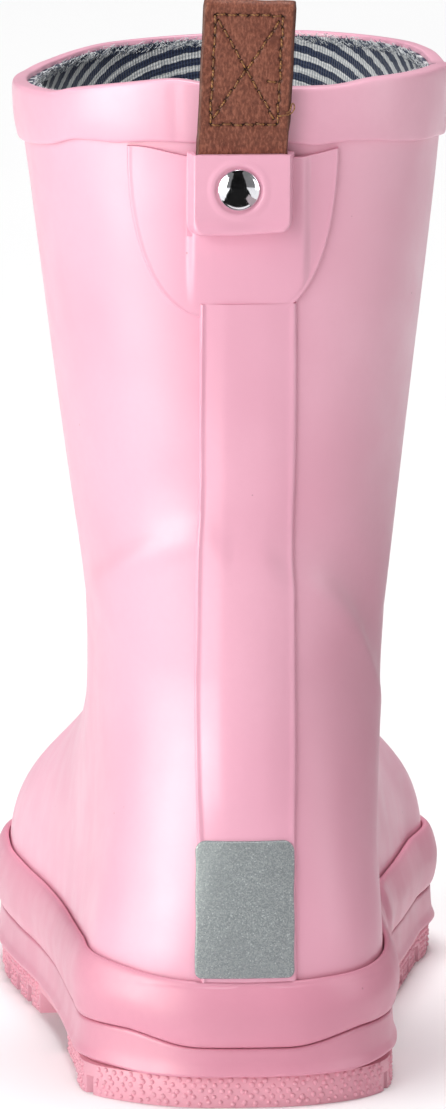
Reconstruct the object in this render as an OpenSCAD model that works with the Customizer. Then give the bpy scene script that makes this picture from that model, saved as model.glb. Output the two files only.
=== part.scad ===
// Child's rubber rain boot for the left foot, with a leather pull tab.
// +Z is up, +Y points to the toe, +X points to the inner (medial) side.
// The origin is on the ground, under the middle of the whole boot.

/* [Boot] */
// Height of the rim above the ground
rim_h = 188.8; // [175:0.2:205]
// Length of the rubber upper at the sole
boot_l = 198; // [185:1:215]
// Width of the rubber upper at the ball of the foot
boot_w = 82; // [76:1:88]
// Outer width of the shaft at the rim
rim_w = 78.6; // [74:0.2:84]
// Outer depth of the shaft at the rim, back to front
rim_d = 102; // [96:1:108]
// Outer width of the shaft at the ankle
ankle_w = 55.6; // [52:0.2:60]
// Outer depth of the shaft at the ankle, back to front
ankle_d = 86; // [80:1:92]

/* [Layers] */
// Thickness of the rubber upper
rubber_t = 2.2; // [1.8:0.1:2.6]
// Thickness of the knit lining
lining_t = 1; // [0.8:0.1:1.2]
// Thickness of the heel counter and of the toe puff
stiffener_t = 0.8; // [0.6:0.1:0.9]
// Thickness of the loose foam footbed
footbed_t = 4.5; // [3:0.5:6]

/* [Sole] */
// Height of the heel block and of the fore sole
sole_h = 5.8; // [5:0.1:8]
// Depth of the channels between the lugs of the fore sole
lug_h = 3.4; // [2.4:0.1:3.8]
// Width of those channels
channel_w = 3.6; // [2.5:0.1:4.5]
// Height of the thin lower tier of the foxing
foxing_low_h = 5.4; // [4.5:0.1:6]
// How far the bulged upper tier stands out of the upper
foxing_bulge = 3.3; // [2.5:0.1:4]

/* [Collar, strip and patch] */
// Height of the collar band outside
collar_h = 10.4; // [9:0.1:13]
// Thickness of the collar band
collar_t = 1.4; // [1.1:0.1:1.6]
// Width of the raised strip down the back
stay_w = 17.6; // [15:0.2:20]
// Width of the U-shaped patch at its top
patch_w = 38; // [34:1:42]
// Height of the U-shaped patch
patch_h = 31.9; // [28:0.1:34]
// Height of the reflector
reflector_h = 24.5; // [20:0.5:30]

/* [Pull tab] */
// Width of the leather tab
tab_w = 16.6; // [14:0.2:18]
// How far the tab stands above the rim
tab_rise = 16.3; // [12:0.1:20]
// Thickness of one layer of leather
leather_t = 1.4; // [1.2:0.1:1.6]
// Length of one stitch
stitch_l = 1.5; // [1.2:0.1:1.7]
// Diameter of the rivet cap
rivet_d = 7.6; // [6:0.2:9]

/* [Hidden] */
gap = 0.15;            // air between two layers of one body
free = 0.35;           // air between two bodies

// Plan outline of the upper at the sole, from the back of the heel round the inner
// side to the toe and back. X from the centre of the heel, Y from its back.
plan_l = 198;
plan_w = 82;
plan_keys = [
    [0, 4], [11, 5.2], [20.5, 11], [26, 21.5], [28.2, 36], [28.4, 54],
    [29.2, 74], [32.3, 95], [37, 116], [41.5, 138], [46.3, 162], [36.5, 187],
    [6, 202], [-20, 192], [-33.6, 167], [-36.2, 140], [-34.4, 117], [-31.4, 95],
    [-29.4, 74], [-28.5, 54], [-27.8, 36], [-26.7, 21.5], [-19.8, 11], [-11, 5.2]];
keys_n = len(plan_keys);
heel_y = 4;            // Y of the back of the heel in the outline

// Heights
wall_z = 22.8;           // top of the upright wall that carries the foxing
ankle_back_z = 77.8;
ankle_front_z = 101.8;
shell_top_z = rim_h - collar_t;
board_t = 1.8;
filler_t = 4;
board_z = sole_h + gap + filler_t + 0.1;
sock_z = board_z + board_t + 0.1;
footbed_z = sock_z + lining_t + free;

// Centres of the ankle and rim ovals, from the back of the heel
ankle_c = [1.6, 53.5];
rim_c = [0.6, 53];
ankle_n = 2.05;        // exponents of the ovals, 2 is an ellipse
rim_n = 2.3;
rim_egg = 0.06;        // how much wider the rim is towards the back
shaft_ease = [0.33, 0.78];  // 1/3 and 2/3 make the shaft a straight taper
foot_lean = 0.35;      // slope of the foot just under the ankle, 1 is that of the shaft

// Places on the back of the shaft
patch_x = -2;
keeper_x = -1;
rivet_x = -1.6;
rivet_z = rim_h - 17.9;
keeper_top_z = rim_h - collar_h - 1.1;
keeper_h = 15.2;
keeper_w = 18.4;
patch_t = 1.2;
stay_t = 0.8;
hinge_z = keeper_top_z + leather_t + 0.45;
tab_top_z = rim_h + tab_rise;
rivet_r = 1.6;
window = 1.95;         // half size of the punched hole for the rivet

// Middle of the whole boot, from the back of the heel
mid = [4.6, 100.35];
// Middle line of the back, and a rough length round the shaft for a first guess of u
back_x = 0.7;
round_l = 280;

function mix(a, b, t) = a + (b - a) * t;
function unit(v) = v / norm(v);
function signed_pow(v, p) = sign(v) * pow(abs(v), p);
function bezier(a, b, c, d, t) =
    pow(1 - t, 3) * a + 3 * pow(1 - t, 2) * t * b + 3 * (1 - t) * t * t * c + pow(t, 3) * d;
function catmull(a, b, c, d, t) =
    0.5 * (2 * b + (c - a) * t + (2 * a - 5 * b + 4 * c - d) * t * t
           + (3 * b - a - 3 * c + d) * t * t * t);

// The upper is a surface over u, round the boot (0 heel, 0.25 inner side, 0.5 toe),
// and v, up the boot: below 0 millimetres down the wall, 0 to 1 foot, 1 to 2 shaft.
function key(i) = plan_keys[(i + keys_n) % keys_n];
function turn(u) = u - floor(u);
function outline(u) =
    let (s = turn(u) * keys_n, i = floor(s),
         p = catmull(key(i - 1), key(i), key(i + 1), key(i + 2), s - i))
    [p.x * boot_w / plan_w, heel_y + (p.y - heel_y) * boot_l / plan_l];
function oval(u, c, w, d, n, egg) =
    [c.x + w / 2 * signed_pow(sin(360 * u), 2 / n) * (1 + egg * cos(360 * u)),
     c.y - d / 2 * signed_pow(cos(360 * u), 2 / n)];
function toe_share(u) = (1 - cos(360 * u)) / 2;
function ankle(u) = concat(oval(u, ankle_c, ankle_w, ankle_d, ankle_n, 0),
                           [mix(ankle_back_z, ankle_front_z, toe_share(u))]);
function rim(u) = concat(oval(u, rim_c, rim_w, rim_d, rim_n, rim_egg), [shell_top_z]);
// Weights of the heel, the sides and the toe in a value that changes round the boot
function blend3(u, heel, side, toe) =
    let (f = toe_share(u), wh = pow(1 - f, 2), wt = pow(f, 3))
    heel * wh + toe * wt + side * (1 - wh - wt);
function foot(u, t) =
    let (p0 = concat(outline(u), [wall_z]), p3 = ankle(u), up = rim(u) - p3,
         lean = [up.x, up.y] * foot_lean / up.z,
         p1 = p0 + [0, blend3(u, -1.5, 0, 0.5), blend3(u, 14, 6, 32)],
         drop = blend3(u, 22, 42, 52),
         p2 = p3 - [lean.x, lean.y, 1] * drop + [0, blend3(u, 0, 0, 14), 0])
    bezier(p0, p1, p2, p3, t);
function shaft(u, t) =
    let (p3 = ankle(u), p6 = rim(u),
         xy = bezier(p3, mix(p3, p6, shaft_ease[0]), mix(p3, p6, shaft_ease[1]), p6, t))
    [xy.x, xy.y, mix(p3.z, p6.z, t)];
function skin(u, v) =
    let (p = v < 0 ? concat(outline(u), [wall_z + v]) : v <= 1 ? foot(u, v) : shaft(u, v - 1))
    p - [mid.x, mid.y, 0];
function normal(u, v) =
    let (e = 0.002, along = skin(u + e, v) - skin(u - e, v),
         rise = v < 0 ? [0, 0, 1] : v < e ? skin(u, v + e) - skin(u, v)
                                          : skin(u, v + e) - skin(u, v - e))
    unit(cross(along, rise));
function on_skin(u, v, h) = skin(u, v) + h * normal(u, v);

function shaft_v(z) = 1 + (z - ankle_back_z) / (shell_top_z - ankle_back_z);
hole_rows = [shaft_v(rivet_z - window), shaft_v(rivet_z + window)];
foot_rows_n = 10;
shaft_rows_n = 6;
foot_rows = [for (k = [0 : foot_rows_n]) k / foot_rows_n];
shaft_rows = concat([for (k = [1 : shaft_rows_n]) 1 + 0.8 * k / shaft_rows_n], hole_rows, [1.94]);

// The v at height z on the column u
function foot_v(u, z, lo = 0, hi = 1, steps = 12) =
    let (m = (lo + hi) / 2)
    steps == 0 ? m : foot(u, m).z < z ? foot_v(u, z, m, hi, steps - 1)
                                      : foot_v(u, z, lo, m, steps - 1);
function v_at(u, z) =
    let (top = ankle(u).z)
    z <= wall_z ? z - wall_z : z < top ? foot_v(u, z) : 1 + (z - top) / (shell_top_z - top);
// The u at a distance x across the back, at height z
function u_at(x, z, u, steps = 4) =
    let (at_x = skin(u, v_at(u, z)).x + mid.x, middle = skin(0, v_at(0, z)).x + mid.x)
    steps == 0 ? u : u_at(x, z, u * (x - middle) / (at_x - middle), steps - 1);
function on_back_skin(x, z, h) =
    let (x_off = abs(x - back_x) < 0.2 ? back_x + 0.2 : x,
         u = u_at(x_off, z, (x_off - back_x) / round_l))
    on_skin(u, v_at(u, z), h);

// Columns round the boot. Two columns and two rows frame the rivet's hole.
function u_near(x) = u_at(x, rivet_z, (x - back_x) / round_l);
columns_n = 72;
columns = concat([u_near(rivet_x + window)],
                 [for (k = [1 : columns_n - 1]) k / columns_n],
                 [1 + u_near(rivet_x - window)]);

// A sheet between two grids of points, top outside and base inside. Rows run up the boot
// and columns round it. closed joins the last column to the first, floor closes the
// bottom of a sock, and hole = [row, column] leaves out one cell and lines its edge.
module quilt(top, base, closed = false, floor = false, hole = [-1, -1]) {
    m = len(top);
    n = len(top[0]);
    spans = closed ? n : n - 1;
    function at(side, j, i) = side * m * n + j * n + i % n;
    skins = [for (j = [0 : m - 2]) for (i = [0 : spans - 1]) if ([j, i] != hole)
                each [[at(0, j, i), at(0, j + 1, i), at(0, j + 1, i + 1)],
                      [at(0, j, i), at(0, j + 1, i + 1), at(0, j, i + 1)],
                      [at(1, j, i), at(1, j + 1, i + 1), at(1, j + 1, i)],
                      [at(1, j, i), at(1, j, i + 1), at(1, j + 1, i + 1)]]];
    function low_edge(j, i) = [at(0, j, i), at(0, j, i + 1), at(1, j, i + 1), at(1, j, i)];
    function high_edge(j, i) = [at(0, j, i + 1), at(0, j, i), at(1, j, i), at(1, j, i + 1)];
    function left_edge(j, i) = [at(1, j, i), at(1, j + 1, i), at(0, j + 1, i), at(0, j, i)];
    function right_edge(j, i) = [at(0, j, i), at(0, j + 1, i), at(1, j + 1, i), at(1, j, i)];
    low = floor ? [[for (i = [0 : n - 1]) at(0, 0, i)], [for (i = [0 : n - 1]) at(1, 0, n - 1 - i)]]
                : [for (i = [0 : spans - 1]) low_edge(0, i)];
    high = [for (i = [0 : spans - 1]) high_edge(m - 1, i)];
    sides = closed ? [] : [for (j = [0 : m - 2]) each [left_edge(j, 0), right_edge(j, n - 1)]];
    punched = hole.x < 0 ? [] :
        [high_edge(hole.x, hole.y), low_edge(hole.x + 1, hole.y),
         right_edge(hole.x, hole.y), left_edge(hole.x, hole.y + 1)];
    polyhedron(concat([for (row = top) each row], [for (row = base) each row]),
               concat(skins, low, high, sides, punched), convexity = 8);
}

// A closed ring round the boot. section(u) gives its cross section as points [z, h], with
// h the distance from the skin, anticlockwise seen with h to the right and z up.
module hoop(section) {
    us = [for (k = [0 : columns_n - 1]) k / columns_n];
    rings = [for (u = us) [for (q = section(u)) on_skin(u, v_at(u, q[0]), q[1])]];
    k_n = len(rings[0]);
    function at(i, k) = (i % columns_n) * k_n + k % k_n;
    polyhedron([for (ring = rings) each ring],
               [for (i = [0 : columns_n - 1]) for (k = [0 : k_n - 1])
                   each [[at(i, k), at(i, k + 1), at(i + 1, k + 1)],
                         [at(i, k), at(i + 1, k + 1), at(i + 1, k)]]], convexity = 8);
}

// The outline of the sole, grown by d, and by corner more at the corners of the heel
function corner_share(u) = exp(-pow((abs(turn(u + 0.5) - 0.5) - 0.115) / 0.035, 2));
function footprint(d, corner) =
    [for (k = [0 : columns_n - 1])
        let (u = k / columns_n, p = on_skin(u, -1, d + corner * corner_share(u))) [p.x, p.y]];
module sole_slab(d, z0, z1, corner = 0) {
    translate([0, 0, z0]) linear_extrude(z1 - z0) polygon(footprint(d, corner));
}
// A block right across the boot, from y0 to y1 measured from the back of the heel
module across(y0, y1, z0, z1) {
    translate([-100, y0 - mid.y, z0]) cube([200, y1 - y0, z1 - z0]);
}

// A flat frame on the back of the shaft: X across, Y up the shaft from the rivet's
// height, Z straight out of the rubber
back_a = skin(0, shaft_v(rivet_z - 8));
back_b = skin(0, shaft_v(rim_h - collar_t));
lean = atan2(back_a.y - back_b.y, back_b.z - back_a.z);
module on_back(x = 0, z = rivet_z, h = 0) {
    translate([x - mid.x, skin(0, shaft_v(rivet_z)).y, rivet_z])
        rotate([90 + lean, 0, 0])
            translate([0, (z - rivet_z) / cos(lean), h]) children();
}
// A rectangle with round corners, from y0 to y1. The radii are for its foot and its head.
function round_rect(w, y0, y1, r_low, r_high) =
    [for (c = [[1, y0, r_low, -90], [1, y1, r_high, 0], [-1, y1, r_high, 90],
               [-1, y0, r_low, 180]])
        for (k = [0 : 6]) let (a = c[3] + 15 * k, down = c[1] == y0 ? 1 : -1)
            [c.x * (w / 2 - c[2]) + c[2] * cos(a), c[1] + down * c[2] + c[2] * sin(a)]];

// Outsole
heel_front = 58;       // from the back of the heel
tread_start = 97;
lug_pitch = 12;
lugs_n = 9;
sole_out = 1.2;        // the soles stand this far out of the upper
heel_out = 0.9;
heel_corner = 1.4;
heel_channels = [17, 32];
heel_channel_w = 2.4;
breast_r = 38;         // radius of the hollow front of the heel
breast_depth = 4;
module heel_block() {
    color("#dfa2af") difference() {
        intersection() {
            sole_slab(heel_out, 0, sole_h, heel_corner);
            across(-10, heel_front, -1, sole_h + 1);
        }
        translate([back_x - mid.x, heel_front - breast_depth + breast_r - mid.y, -1])
            cylinder(h = sole_h + 2, r = breast_r, $fn = 96);
        for (y = heel_channels) across(y, y + heel_channel_w, -1, lug_h);
    }
}
module outsole_forepart() {
    color("#dfa2af") {
        intersection() {
            sole_slab(sole_out, sole_h - 1.6, sole_h);
            across(heel_front + 2, tread_start + 3, 0, sole_h + 1);
        }
        intersection() {
            sole_slab(sole_out, lug_h, sole_h);
            across(tread_start, 260, 0, sole_h + 1);
        }
        for (k = [0 : lugs_n - 1]) intersection() {
            sole_slab(sole_out, 0, lug_h);
            let (y = tread_start + k * lug_pitch) across(y, y + lug_pitch - channel_w, -1, lug_h);
        }
    }
}

// Foxing
function fox_top(u) = wall_z + 3 - 2.4 * pow(cos(180 * u), 10);
// Height between the two tiers, which sags at the back of the heel
function fox_z(u) =
    let (t = min(1, max(0, (abs(turn(u + 0.5) - 0.5) - 0.03) / 0.06)))
    sole_h + foxing_low_h + 0.1 + 2.5 * t * t * (3 - 2 * t);
module foxing_lower() {
    z0 = sole_h + 0.1;
    color("#e9a9ba") hoop(function(u) let (z1 = fox_z(u) - 0.1)
        [[z0, gap], [z0, 2.3], [z0 + 0.6, 2.6], [mix(z0, z1, 0.6), 2.3],
         [z1 - 0.5, 1.7], [z1, 1.3], [z1, gap]]);
}
module foxing_upper() {
    b = foxing_bulge;
    inner = 2 * gap;
    color("#efb2c3") hoop(function(u) let (t = fox_top(u), s = fox_z(u), m = t - s)
        [[s, inner], [s, b * 0.45], [s + 1.2, b * 0.78], [s + m * 0.35, b],
         [s + m * 0.6, b * 0.98], [s + m * 0.85, b * 0.78], [t - 0.4, b * 0.5],
         [t, b * 0.3], [t, inner]]);
}

// Inside the foxing
shank_y = [50, 104];
module sole_filler() {
    color("#e8e0d0") difference() {
        sole_slab(-rubber_t - gap, sole_h + 0.1, board_z - 0.1);
        translate([-7.1 - mid.x, shank_y[0] - 7.1 - mid.y, board_z - 1.8])
            cube([14.2, shank_y[1] - shank_y[0] + 14.2, 4]);
    }
}
module shank() {
    color("silver") translate([-mid.x, -mid.y, board_z - 1.7]) {
        translate([-7, shank_y[0], 0]) cube([14, shank_y[1] - shank_y[0], 1.5]);
        for (y = shank_y) translate([0, y, 0]) cylinder(h = 1.5, r = 7, $fn = 48);
    }
}
module insole_board() {
    color("#b89b77") sole_slab(-rubber_t - gap, board_z, board_z + board_t);
}

// Upper and what lines it
function grid(rows, h) = [for (v = rows) [for (u = columns) on_skin(u, v, h(v))]];
function lining_air(v) = v < 0.9 ? stiffener_t + gap : v > 1.3 ? 0
    : mix(stiffener_t + gap, 0, (v - 0.9) / 0.4);
function lining_h(v) = -rubber_t - gap - lining_air(v);
hole_row = 1 + len(foot_rows) + shaft_rows_n;
module upper_shell() {
    rows = concat([sole_h + 0.1 - wall_z], foot_rows, shaft_rows, [2]);
    color("#f9c9da") quilt(grid(rows, function(v) 0), grid(rows, function(v) -rubber_t),
                           closed = true, hole = [hole_row, len(columns) - 1]);
}
module lining() {
    rows = concat(foot_rows, shaft_rows, [2 - 0.6 / (shell_top_z - ankle_back_z)]);
    out = concat([sock_z - wall_z], rows);
    in = concat([sock_z + lining_t - wall_z], rows);
    color("#8d93a3") quilt(grid(out, function(v) lining_h(v)),
                           grid(in, function(v) lining_h(v) - lining_t),
                           closed = true, floor = true, hole = [hole_row, len(columns) - 1]);
}
// A stiffener round one end of the boot, between upper and lining
module stiffener(us, top_row) {
    rows = concat([sock_z - wall_z], [for (k = [0 : top_row]) foot_rows[k]]);
    out = [for (v = rows) [for (u = us) on_skin(u, v, -rubber_t - gap / 2)]];
    in = [for (v = rows) [for (u = us) on_skin(u, v, -rubber_t - gap / 2 - stiffener_t)]];
    quilt(out, in);
}
module heel_counter() {
    n = len(columns);
    color("#d8c8a8") stiffener([for (k = [n - 11 : n + 10]) columns[k % n]], 7);
}
module toe_puff() {
    color("#d8c8a8") stiffener([for (u = columns) if (u > 0.37 && u < 0.63) u], 4);
}
module footbed() {
    d = -rubber_t - stiffener_t - lining_t - 2 * gap - free - 1;
    color("#c9ccd4") sole_slab(d, footbed_z, footbed_z + footbed_t);
}

// On the outside of the upper
module collar_band() {
    in = -rubber_t - gap;
    color("#f6c3d3") hoop(function(u)
        [[rim_h - collar_h, gap], [rim_h - collar_h, collar_t - 0.2],
         [rim_h - collar_h + 0.6, collar_t + gap], [rim_h - 1, collar_t + gap],
         [rim_h - 0.2, collar_t * 0.6], [rim_h, -0.2], [rim_h, in + 0.2],
         [rim_h - 0.3, in - 0.6], [rim_h - 0.9, in - 0.9],
         [shell_top_z + gap, in - 0.9], [shell_top_z + gap, gap]]);
}
// A sheet on the back, rows at heights zs, columns at half_width(z) * f + x0 for f in fs
module back_sheet(zs, fs, x0, half_width, h0, h1, hole = [-1, -1]) {
    quilt([for (z = zs) [for (f = fs) on_back_skin(x0 + f * half_width(z), z, h1)]],
          [for (z = zs) [for (f = fs) on_back_skin(x0 + f * half_width(z), z, h0)]], hole = hole);
}
fs_even = [-1, -0.75, -0.5, -0.25, 0, 0.25, 0.5, 0.75, 1];
patch_low = keeper_top_z - patch_h + 0.6;
module back_stay() {
    zs = [for (k = [0 : 24]) mix(fox_top(0) + 0.6, patch_low - 0.2, k / 24)];
    color("#fbd3e0") back_sheet(zs, fs_even, 0.6, function(z) stay_w / 2, gap, gap + stay_t);
}
module heel_reflector() {
    zs = [for (k = [0 : 5]) fox_top(0) + 1.4 + reflector_h * k / 5];
    color("#949899") back_sheet(zs, fs_even, 0.2, function(z) stay_w / 2 - 0.1,
                                gap + stay_t + 0.1, gap + stay_t + 0.4);
}
function patch_half(z) =
    let (t = (z - patch_low) / patch_h)
    patch_w / 2 * pow(max(0, 1 - pow(1 - t, 2)), 0.32);
module back_patch() {
    low = [0.002, 0.012, 0.035, 0.08, 0.15, 0.24, 0.34, 0.46, 0.6];
    zs = concat([for (t = low) patch_low + t * patch_h],
                [rivet_z - window, rivet_z + window, patch_low + patch_h - 1]);
    hole_x = rivet_x - patch_x;
    xs = [-19, -15, -10, -6, hole_x - window, hole_x + window, 6, 10, 15, 19];
    color("#facadb") back_sheet(zs, [for (x = xs) x / 19], patch_x, function(z) patch_half(z),
                                gap, gap + patch_t, hole = [len(low), 4]);
}

// Pull tab, on the flat frame of the back
leather_h = gap + collar_t + free;
leather = 2 * leather_t;
keeper_front = leather_h + leather + 1.3;
module rivet_bore(h0, h1) {
    on_back(rivet_x, rivet_z, h0) cylinder(h = h1 - h0, r = rivet_r + 0.05, $fn = 48);
}
module tab_keeper() {
    y1 = keeper_top_z - rivet_z;
    y0 = y1 - keeper_h;
    color("#f4bbd0") difference() {
        on_back(keeper_x, rivet_z, gap + patch_t + 0.1)
            linear_extrude(keeper_front - gap - patch_t - 0.1)
                polygon(round_rect(keeper_w, y0, y1, 3, 0.8));
        on_back(keeper_x, rivet_z, 0)
            translate([-tab_w / 2 - 0.1, y0 + 2.6, 0])
                cube([tab_w + 0.2, keeper_h, leather_h + leather + 0.1]);
        rivet_bore(0, keeper_front + 1);
    }
}
module pull_tab_root() {
    y1 = keeper_top_z - rivet_z - 0.1;
    color("#6d4136") difference() {
        on_back(keeper_x, rivet_z, leather_h)
            translate([-tab_w / 2, y1 - keeper_h + 3, 0]) cube([tab_w, keeper_h - 3, leather]);
        rivet_bore(0, keeper_front);
    }
}
module pull_tab() {
    length = (tab_top_z - leather_t - hinge_z) / cos(lean);
    color("#8a5340") on_back(keeper_x + 0.4, hinge_z, leather_h) {
        translate([-tab_w / 2, 0, 0]) cube([tab_w, length, leather]);
        for (y = [0, length]) translate([-tab_w / 2, y, leather_t])
            rotate([0, 90, 0]) cylinder(h = tab_w, r = leather_t, $fn = 32);
    }
}
stitch_pitch = 2.1;
box_w = 12;
box_y = [3.6, 23.4];    // from the hinge
module stitches(from, to) {
    run = norm(to - from);
    n = round(run / stitch_pitch);
    for (k = [0 : n - 1]) translate(mix(from, to, (k + 0.5) / n))
        rotate([0, 0, atan2(to.y - from.y, to.x - from.x)])
            translate([-stitch_l / 2, -0.22, 0]) cube([stitch_l, 0.44, 0.3]);
}
module tab_thread() {
    a = [-box_w / 2, box_y[0], 0];
    b = [box_w / 2, box_y[0], 0];
    c = [box_w / 2, box_y[1], 0];
    d = [-box_w / 2, box_y[1], 0];
    in = [2, 2.6, 0];
    color("#b98a55") for (h = [leather_h - 0.34, leather_h + leather + 0.04])
        on_back(keeper_x + 0.4, hinge_z, h) {
            for (run = [[a, b], [b, c], [c, d], [d, a]]) stitches(run[0], run[1]);
            stitches(a + in, c - in);
            stitches(b + [-in.x, in.y, 0], (a + c) / 2 + [1.2, -1.95, 0]);
            stitches((a + c) / 2 + [-1.2, 1.95, 0], d + [in.x, -in.y, 0]);
        }
}

// Rivet
module rivet_cap() {
    r = rivet_d / 2;
    rise = 1.5;
    ball = (r * r + rise * rise) / (2 * rise);
    color("#d8dadc") on_back(rivet_x, rivet_z, keeper_front + 0.05)
        rotate_extrude($fn = 64) intersection() {
            translate([0, rise - ball]) circle(r = ball, $fn = 96);
            square([r, rise]);
        }
}
inner_face = rubber_t + gap + lining_t + 0.5;
module rivet_post() {
    color("#c9ccd0") on_back(rivet_x, rivet_z, -inner_face)
        cylinder(h = inner_face + keeper_front + 0.05, r = rivet_r, $fn = 48);
}
module rivet_back() {
    color("#c9ccd0") on_back(rivet_x, rivet_z, -inner_face - 0.8) cylinder(h = 0.8, r = 4, $fn = 48);
}

heel_block();
outsole_forepart();
foxing_lower();
foxing_upper();
sole_filler();
shank();
insole_board();
upper_shell();
heel_counter();
toe_puff();
lining();
footbed();
collar_band();
back_stay();
back_patch();
heel_reflector();
tab_keeper();
pull_tab_root();
pull_tab();
tab_thread();
rivet_cap();
rivet_post();
rivet_back();
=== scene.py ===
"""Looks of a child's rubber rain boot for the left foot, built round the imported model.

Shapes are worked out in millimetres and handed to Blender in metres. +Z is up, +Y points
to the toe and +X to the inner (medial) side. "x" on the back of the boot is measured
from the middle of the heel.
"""

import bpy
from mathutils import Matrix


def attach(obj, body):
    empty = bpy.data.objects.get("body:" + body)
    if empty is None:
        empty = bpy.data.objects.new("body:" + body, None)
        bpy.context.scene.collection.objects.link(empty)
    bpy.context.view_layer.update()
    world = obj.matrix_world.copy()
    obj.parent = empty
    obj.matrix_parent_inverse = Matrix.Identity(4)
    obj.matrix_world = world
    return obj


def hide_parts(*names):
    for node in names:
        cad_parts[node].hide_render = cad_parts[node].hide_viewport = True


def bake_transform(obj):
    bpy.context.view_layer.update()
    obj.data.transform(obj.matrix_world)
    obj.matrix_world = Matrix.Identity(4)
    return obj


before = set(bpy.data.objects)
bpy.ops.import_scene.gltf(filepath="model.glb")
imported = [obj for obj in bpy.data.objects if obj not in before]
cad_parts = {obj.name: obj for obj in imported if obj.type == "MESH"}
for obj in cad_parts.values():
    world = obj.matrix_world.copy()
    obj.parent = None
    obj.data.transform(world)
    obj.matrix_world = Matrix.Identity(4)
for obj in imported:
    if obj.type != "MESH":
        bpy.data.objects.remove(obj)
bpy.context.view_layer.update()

import math

import bpy
import numpy as np
from mathutils import Vector

MM = 0.001
TAU = 2 * math.pi


# ---- camera

CAMERA_PLACE, CAMERA_AIM = (-0.1362, -1.92095, 0.3735), (-0.00889, -0.10035, 0.10345)
SENSOR_MM, LENS_MM = 36, 328.6


def add_object(name, data):
    obj = bpy.data.objects.new(name, data)
    bpy.context.scene.collection.objects.link(obj)
    return obj


def point_at(obj, place, aim):
    """Puts a camera or a lamp at a place, looking at its aim."""
    obj.location = place
    obj.rotation_euler = (Vector(aim) - Vector(place)).to_track_quat("-Z", "Y").to_euler()


def add_camera():
    """The photograph's viewpoint: from behind, a little to the left and above."""
    data = bpy.data.cameras.new("photo_view")
    data.sensor_width, data.lens = SENSOR_MM, LENS_MM
    data.clip_start, data.clip_end = 0.1, 60
    camera = add_object("photo_view", data)
    point_at(camera, CAMERA_PLACE, CAMERA_AIM)
    bpy.context.scene.camera = camera


add_camera()


# ---- numbers of the boot

MID = np.array([4.6, 100.35, 0])    # middle of the boot, from the back of the heel
RIM_Z = 188.8
SHELL_TOP = 187.4
WALL_Z = 22.8                       # top of the upright wall behind the foxing
ANKLE_BACK, ANKLE_FRONT = 77.8, 101.8
RUBBER, LINING, GAP = 2.2, 1.0, 0.15
SOLE_H, LUG_H = 5.8, 3.4
FOXING_Z = 11.3                     # between the two tiers of the foxing
COLLAR_Z = RIM_Z - 10.4             # lower edge of the collar
BACK_X = 0.7                        # middle line of the back
STAY_X, STAY_HALF = 0.6, 8.8
PATCH_X, PATCH_HALF, PATCH_LOW, PATCH_H = -2.0, 19.0, 146.0, 31.9
KEEPER_X, KEEPER_HALF, KEEPER_TOP, KEEPER_H = -1.0, 9.2, 177.3, 15.2
KEEPER_FRONT = 6.0
RIVET_X, RIVET_Z, RIVET_R = -1.6, 170.9, 3.8
HINGE_Z = 179.15
LEATHER_H, LEATHER_T = 1.9, 1.4     # where the strap starts, and its thickness
TAB_HALF, TAB_TOP = 8.3, 205.1
TAB_SLANT = 0.045                   # the strap leans this much to the inner side
BEND_LOW, BEND_HIGH = 177.6, 181.1  # two heights over the keeper; their points on the strap are worked out and not used
BACK_SLIP = 0.4                     # how far the tab's back layer lies to the side
ROUND_N = 288                       # columns of the finished surfaces
SHAFT_Y = -47                       # middle of the shaft, from the middle of the boot
GIRTH = 290                         # rough length round the shaft
RIM_THIN = 0.55                     # how much thinner the rubber is at the rim
FOOT_LEAN = 0.35                    # how much of the shaft's slope the foot takes up
SHAFT_EASE = (0.33, 0.78)           # where the shaft's curve is pulled to, of its rise

# Plan ovals of the shaft: middle, width, depth, squareness, and how much wider at the heel
ANKLE_OVAL = ((1.6, 53.5), 55.6, 86, 2.05, 0)
RIM_OVAL = ((0.6, 53), 78.6, 102, 2.3, 0.06)

# Plan outline of the upper at the sole, from the back of the heel round the inner side
PLAN = np.array([
    (0, 4), (11, 5.2), (20.5, 11), (26, 21.5), (28.2, 36), (28.4, 54), (29.2, 74),
    (32.3, 95), (37, 116), (41.5, 138), (46.3, 162), (36.5, 187), (6, 202), (-20, 192),
    (-33.6, 167), (-36.2, 140), (-34.4, 117), (-31.4, 95), (-29.4, 74), (-28.5, 54),
    (-27.8, 36), (-26.7, 21.5), (-19.8, 11), (-11, 5.2)], float)


# ---- small mathematics

def smooth(x, low, high):
    """0 below low, 1 above high, and an S curve between them."""
    t = np.clip((x - low) / (high - low), 0, 1)
    return t * t * (3 - 2 * t)


def falling(x, low, high):
    return 1 - smooth(x, low, high)


def bell(x, centre, width):
    return np.exp(-((x - centre) / width) ** 2)


def mix(a, b, t):
    return a + (b - a) * t


def signed_pow(x, p):
    return np.sign(x) * np.abs(x) ** p


def unit(vectors):
    return vectors / np.linalg.norm(vectors, axis=-1, keepdims=True)


def from_heel(u):
    """Places round the boot from -0.5 to 0.5: 0 at the heel, above 0 on the inner side."""
    return np.mod(u + 0.5, 1) - 0.5


def turned_at(x, y):
    """The same kind of place for a point, from its direction seen from the shaft's middle."""
    return np.arctan2(x, -(y - SHAFT_Y)) / TAU


def resampled(points, count):
    """A line with count places on it, evenly shared out between its points."""
    fine = np.linspace(0, len(points) - 1, count)
    return np.stack([np.interp(fine, np.arange(len(points)), row) for row in points.T], 1)


def ease(line, rounds):
    """Rounds the corners of a line in place. Its ends stay."""
    for _ in range(rounds):
        line[1:-1] = (line[:-2] + 2 * line[1:-1] + line[2:]) / 4


def corner_cut(points, rounds=2):
    """A closed line with its corners cut twice, so that it turns smoothly."""
    points = np.asarray(points, float)
    for _ in range(rounds):
        after = np.roll(points, -1, axis=-2)
        points = np.stack([mix(points, after, 0.25), mix(points, after, 0.75)], -2)
        points = points.reshape(*points.shape[:-3], -1, points.shape[-1])
    return points


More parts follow.
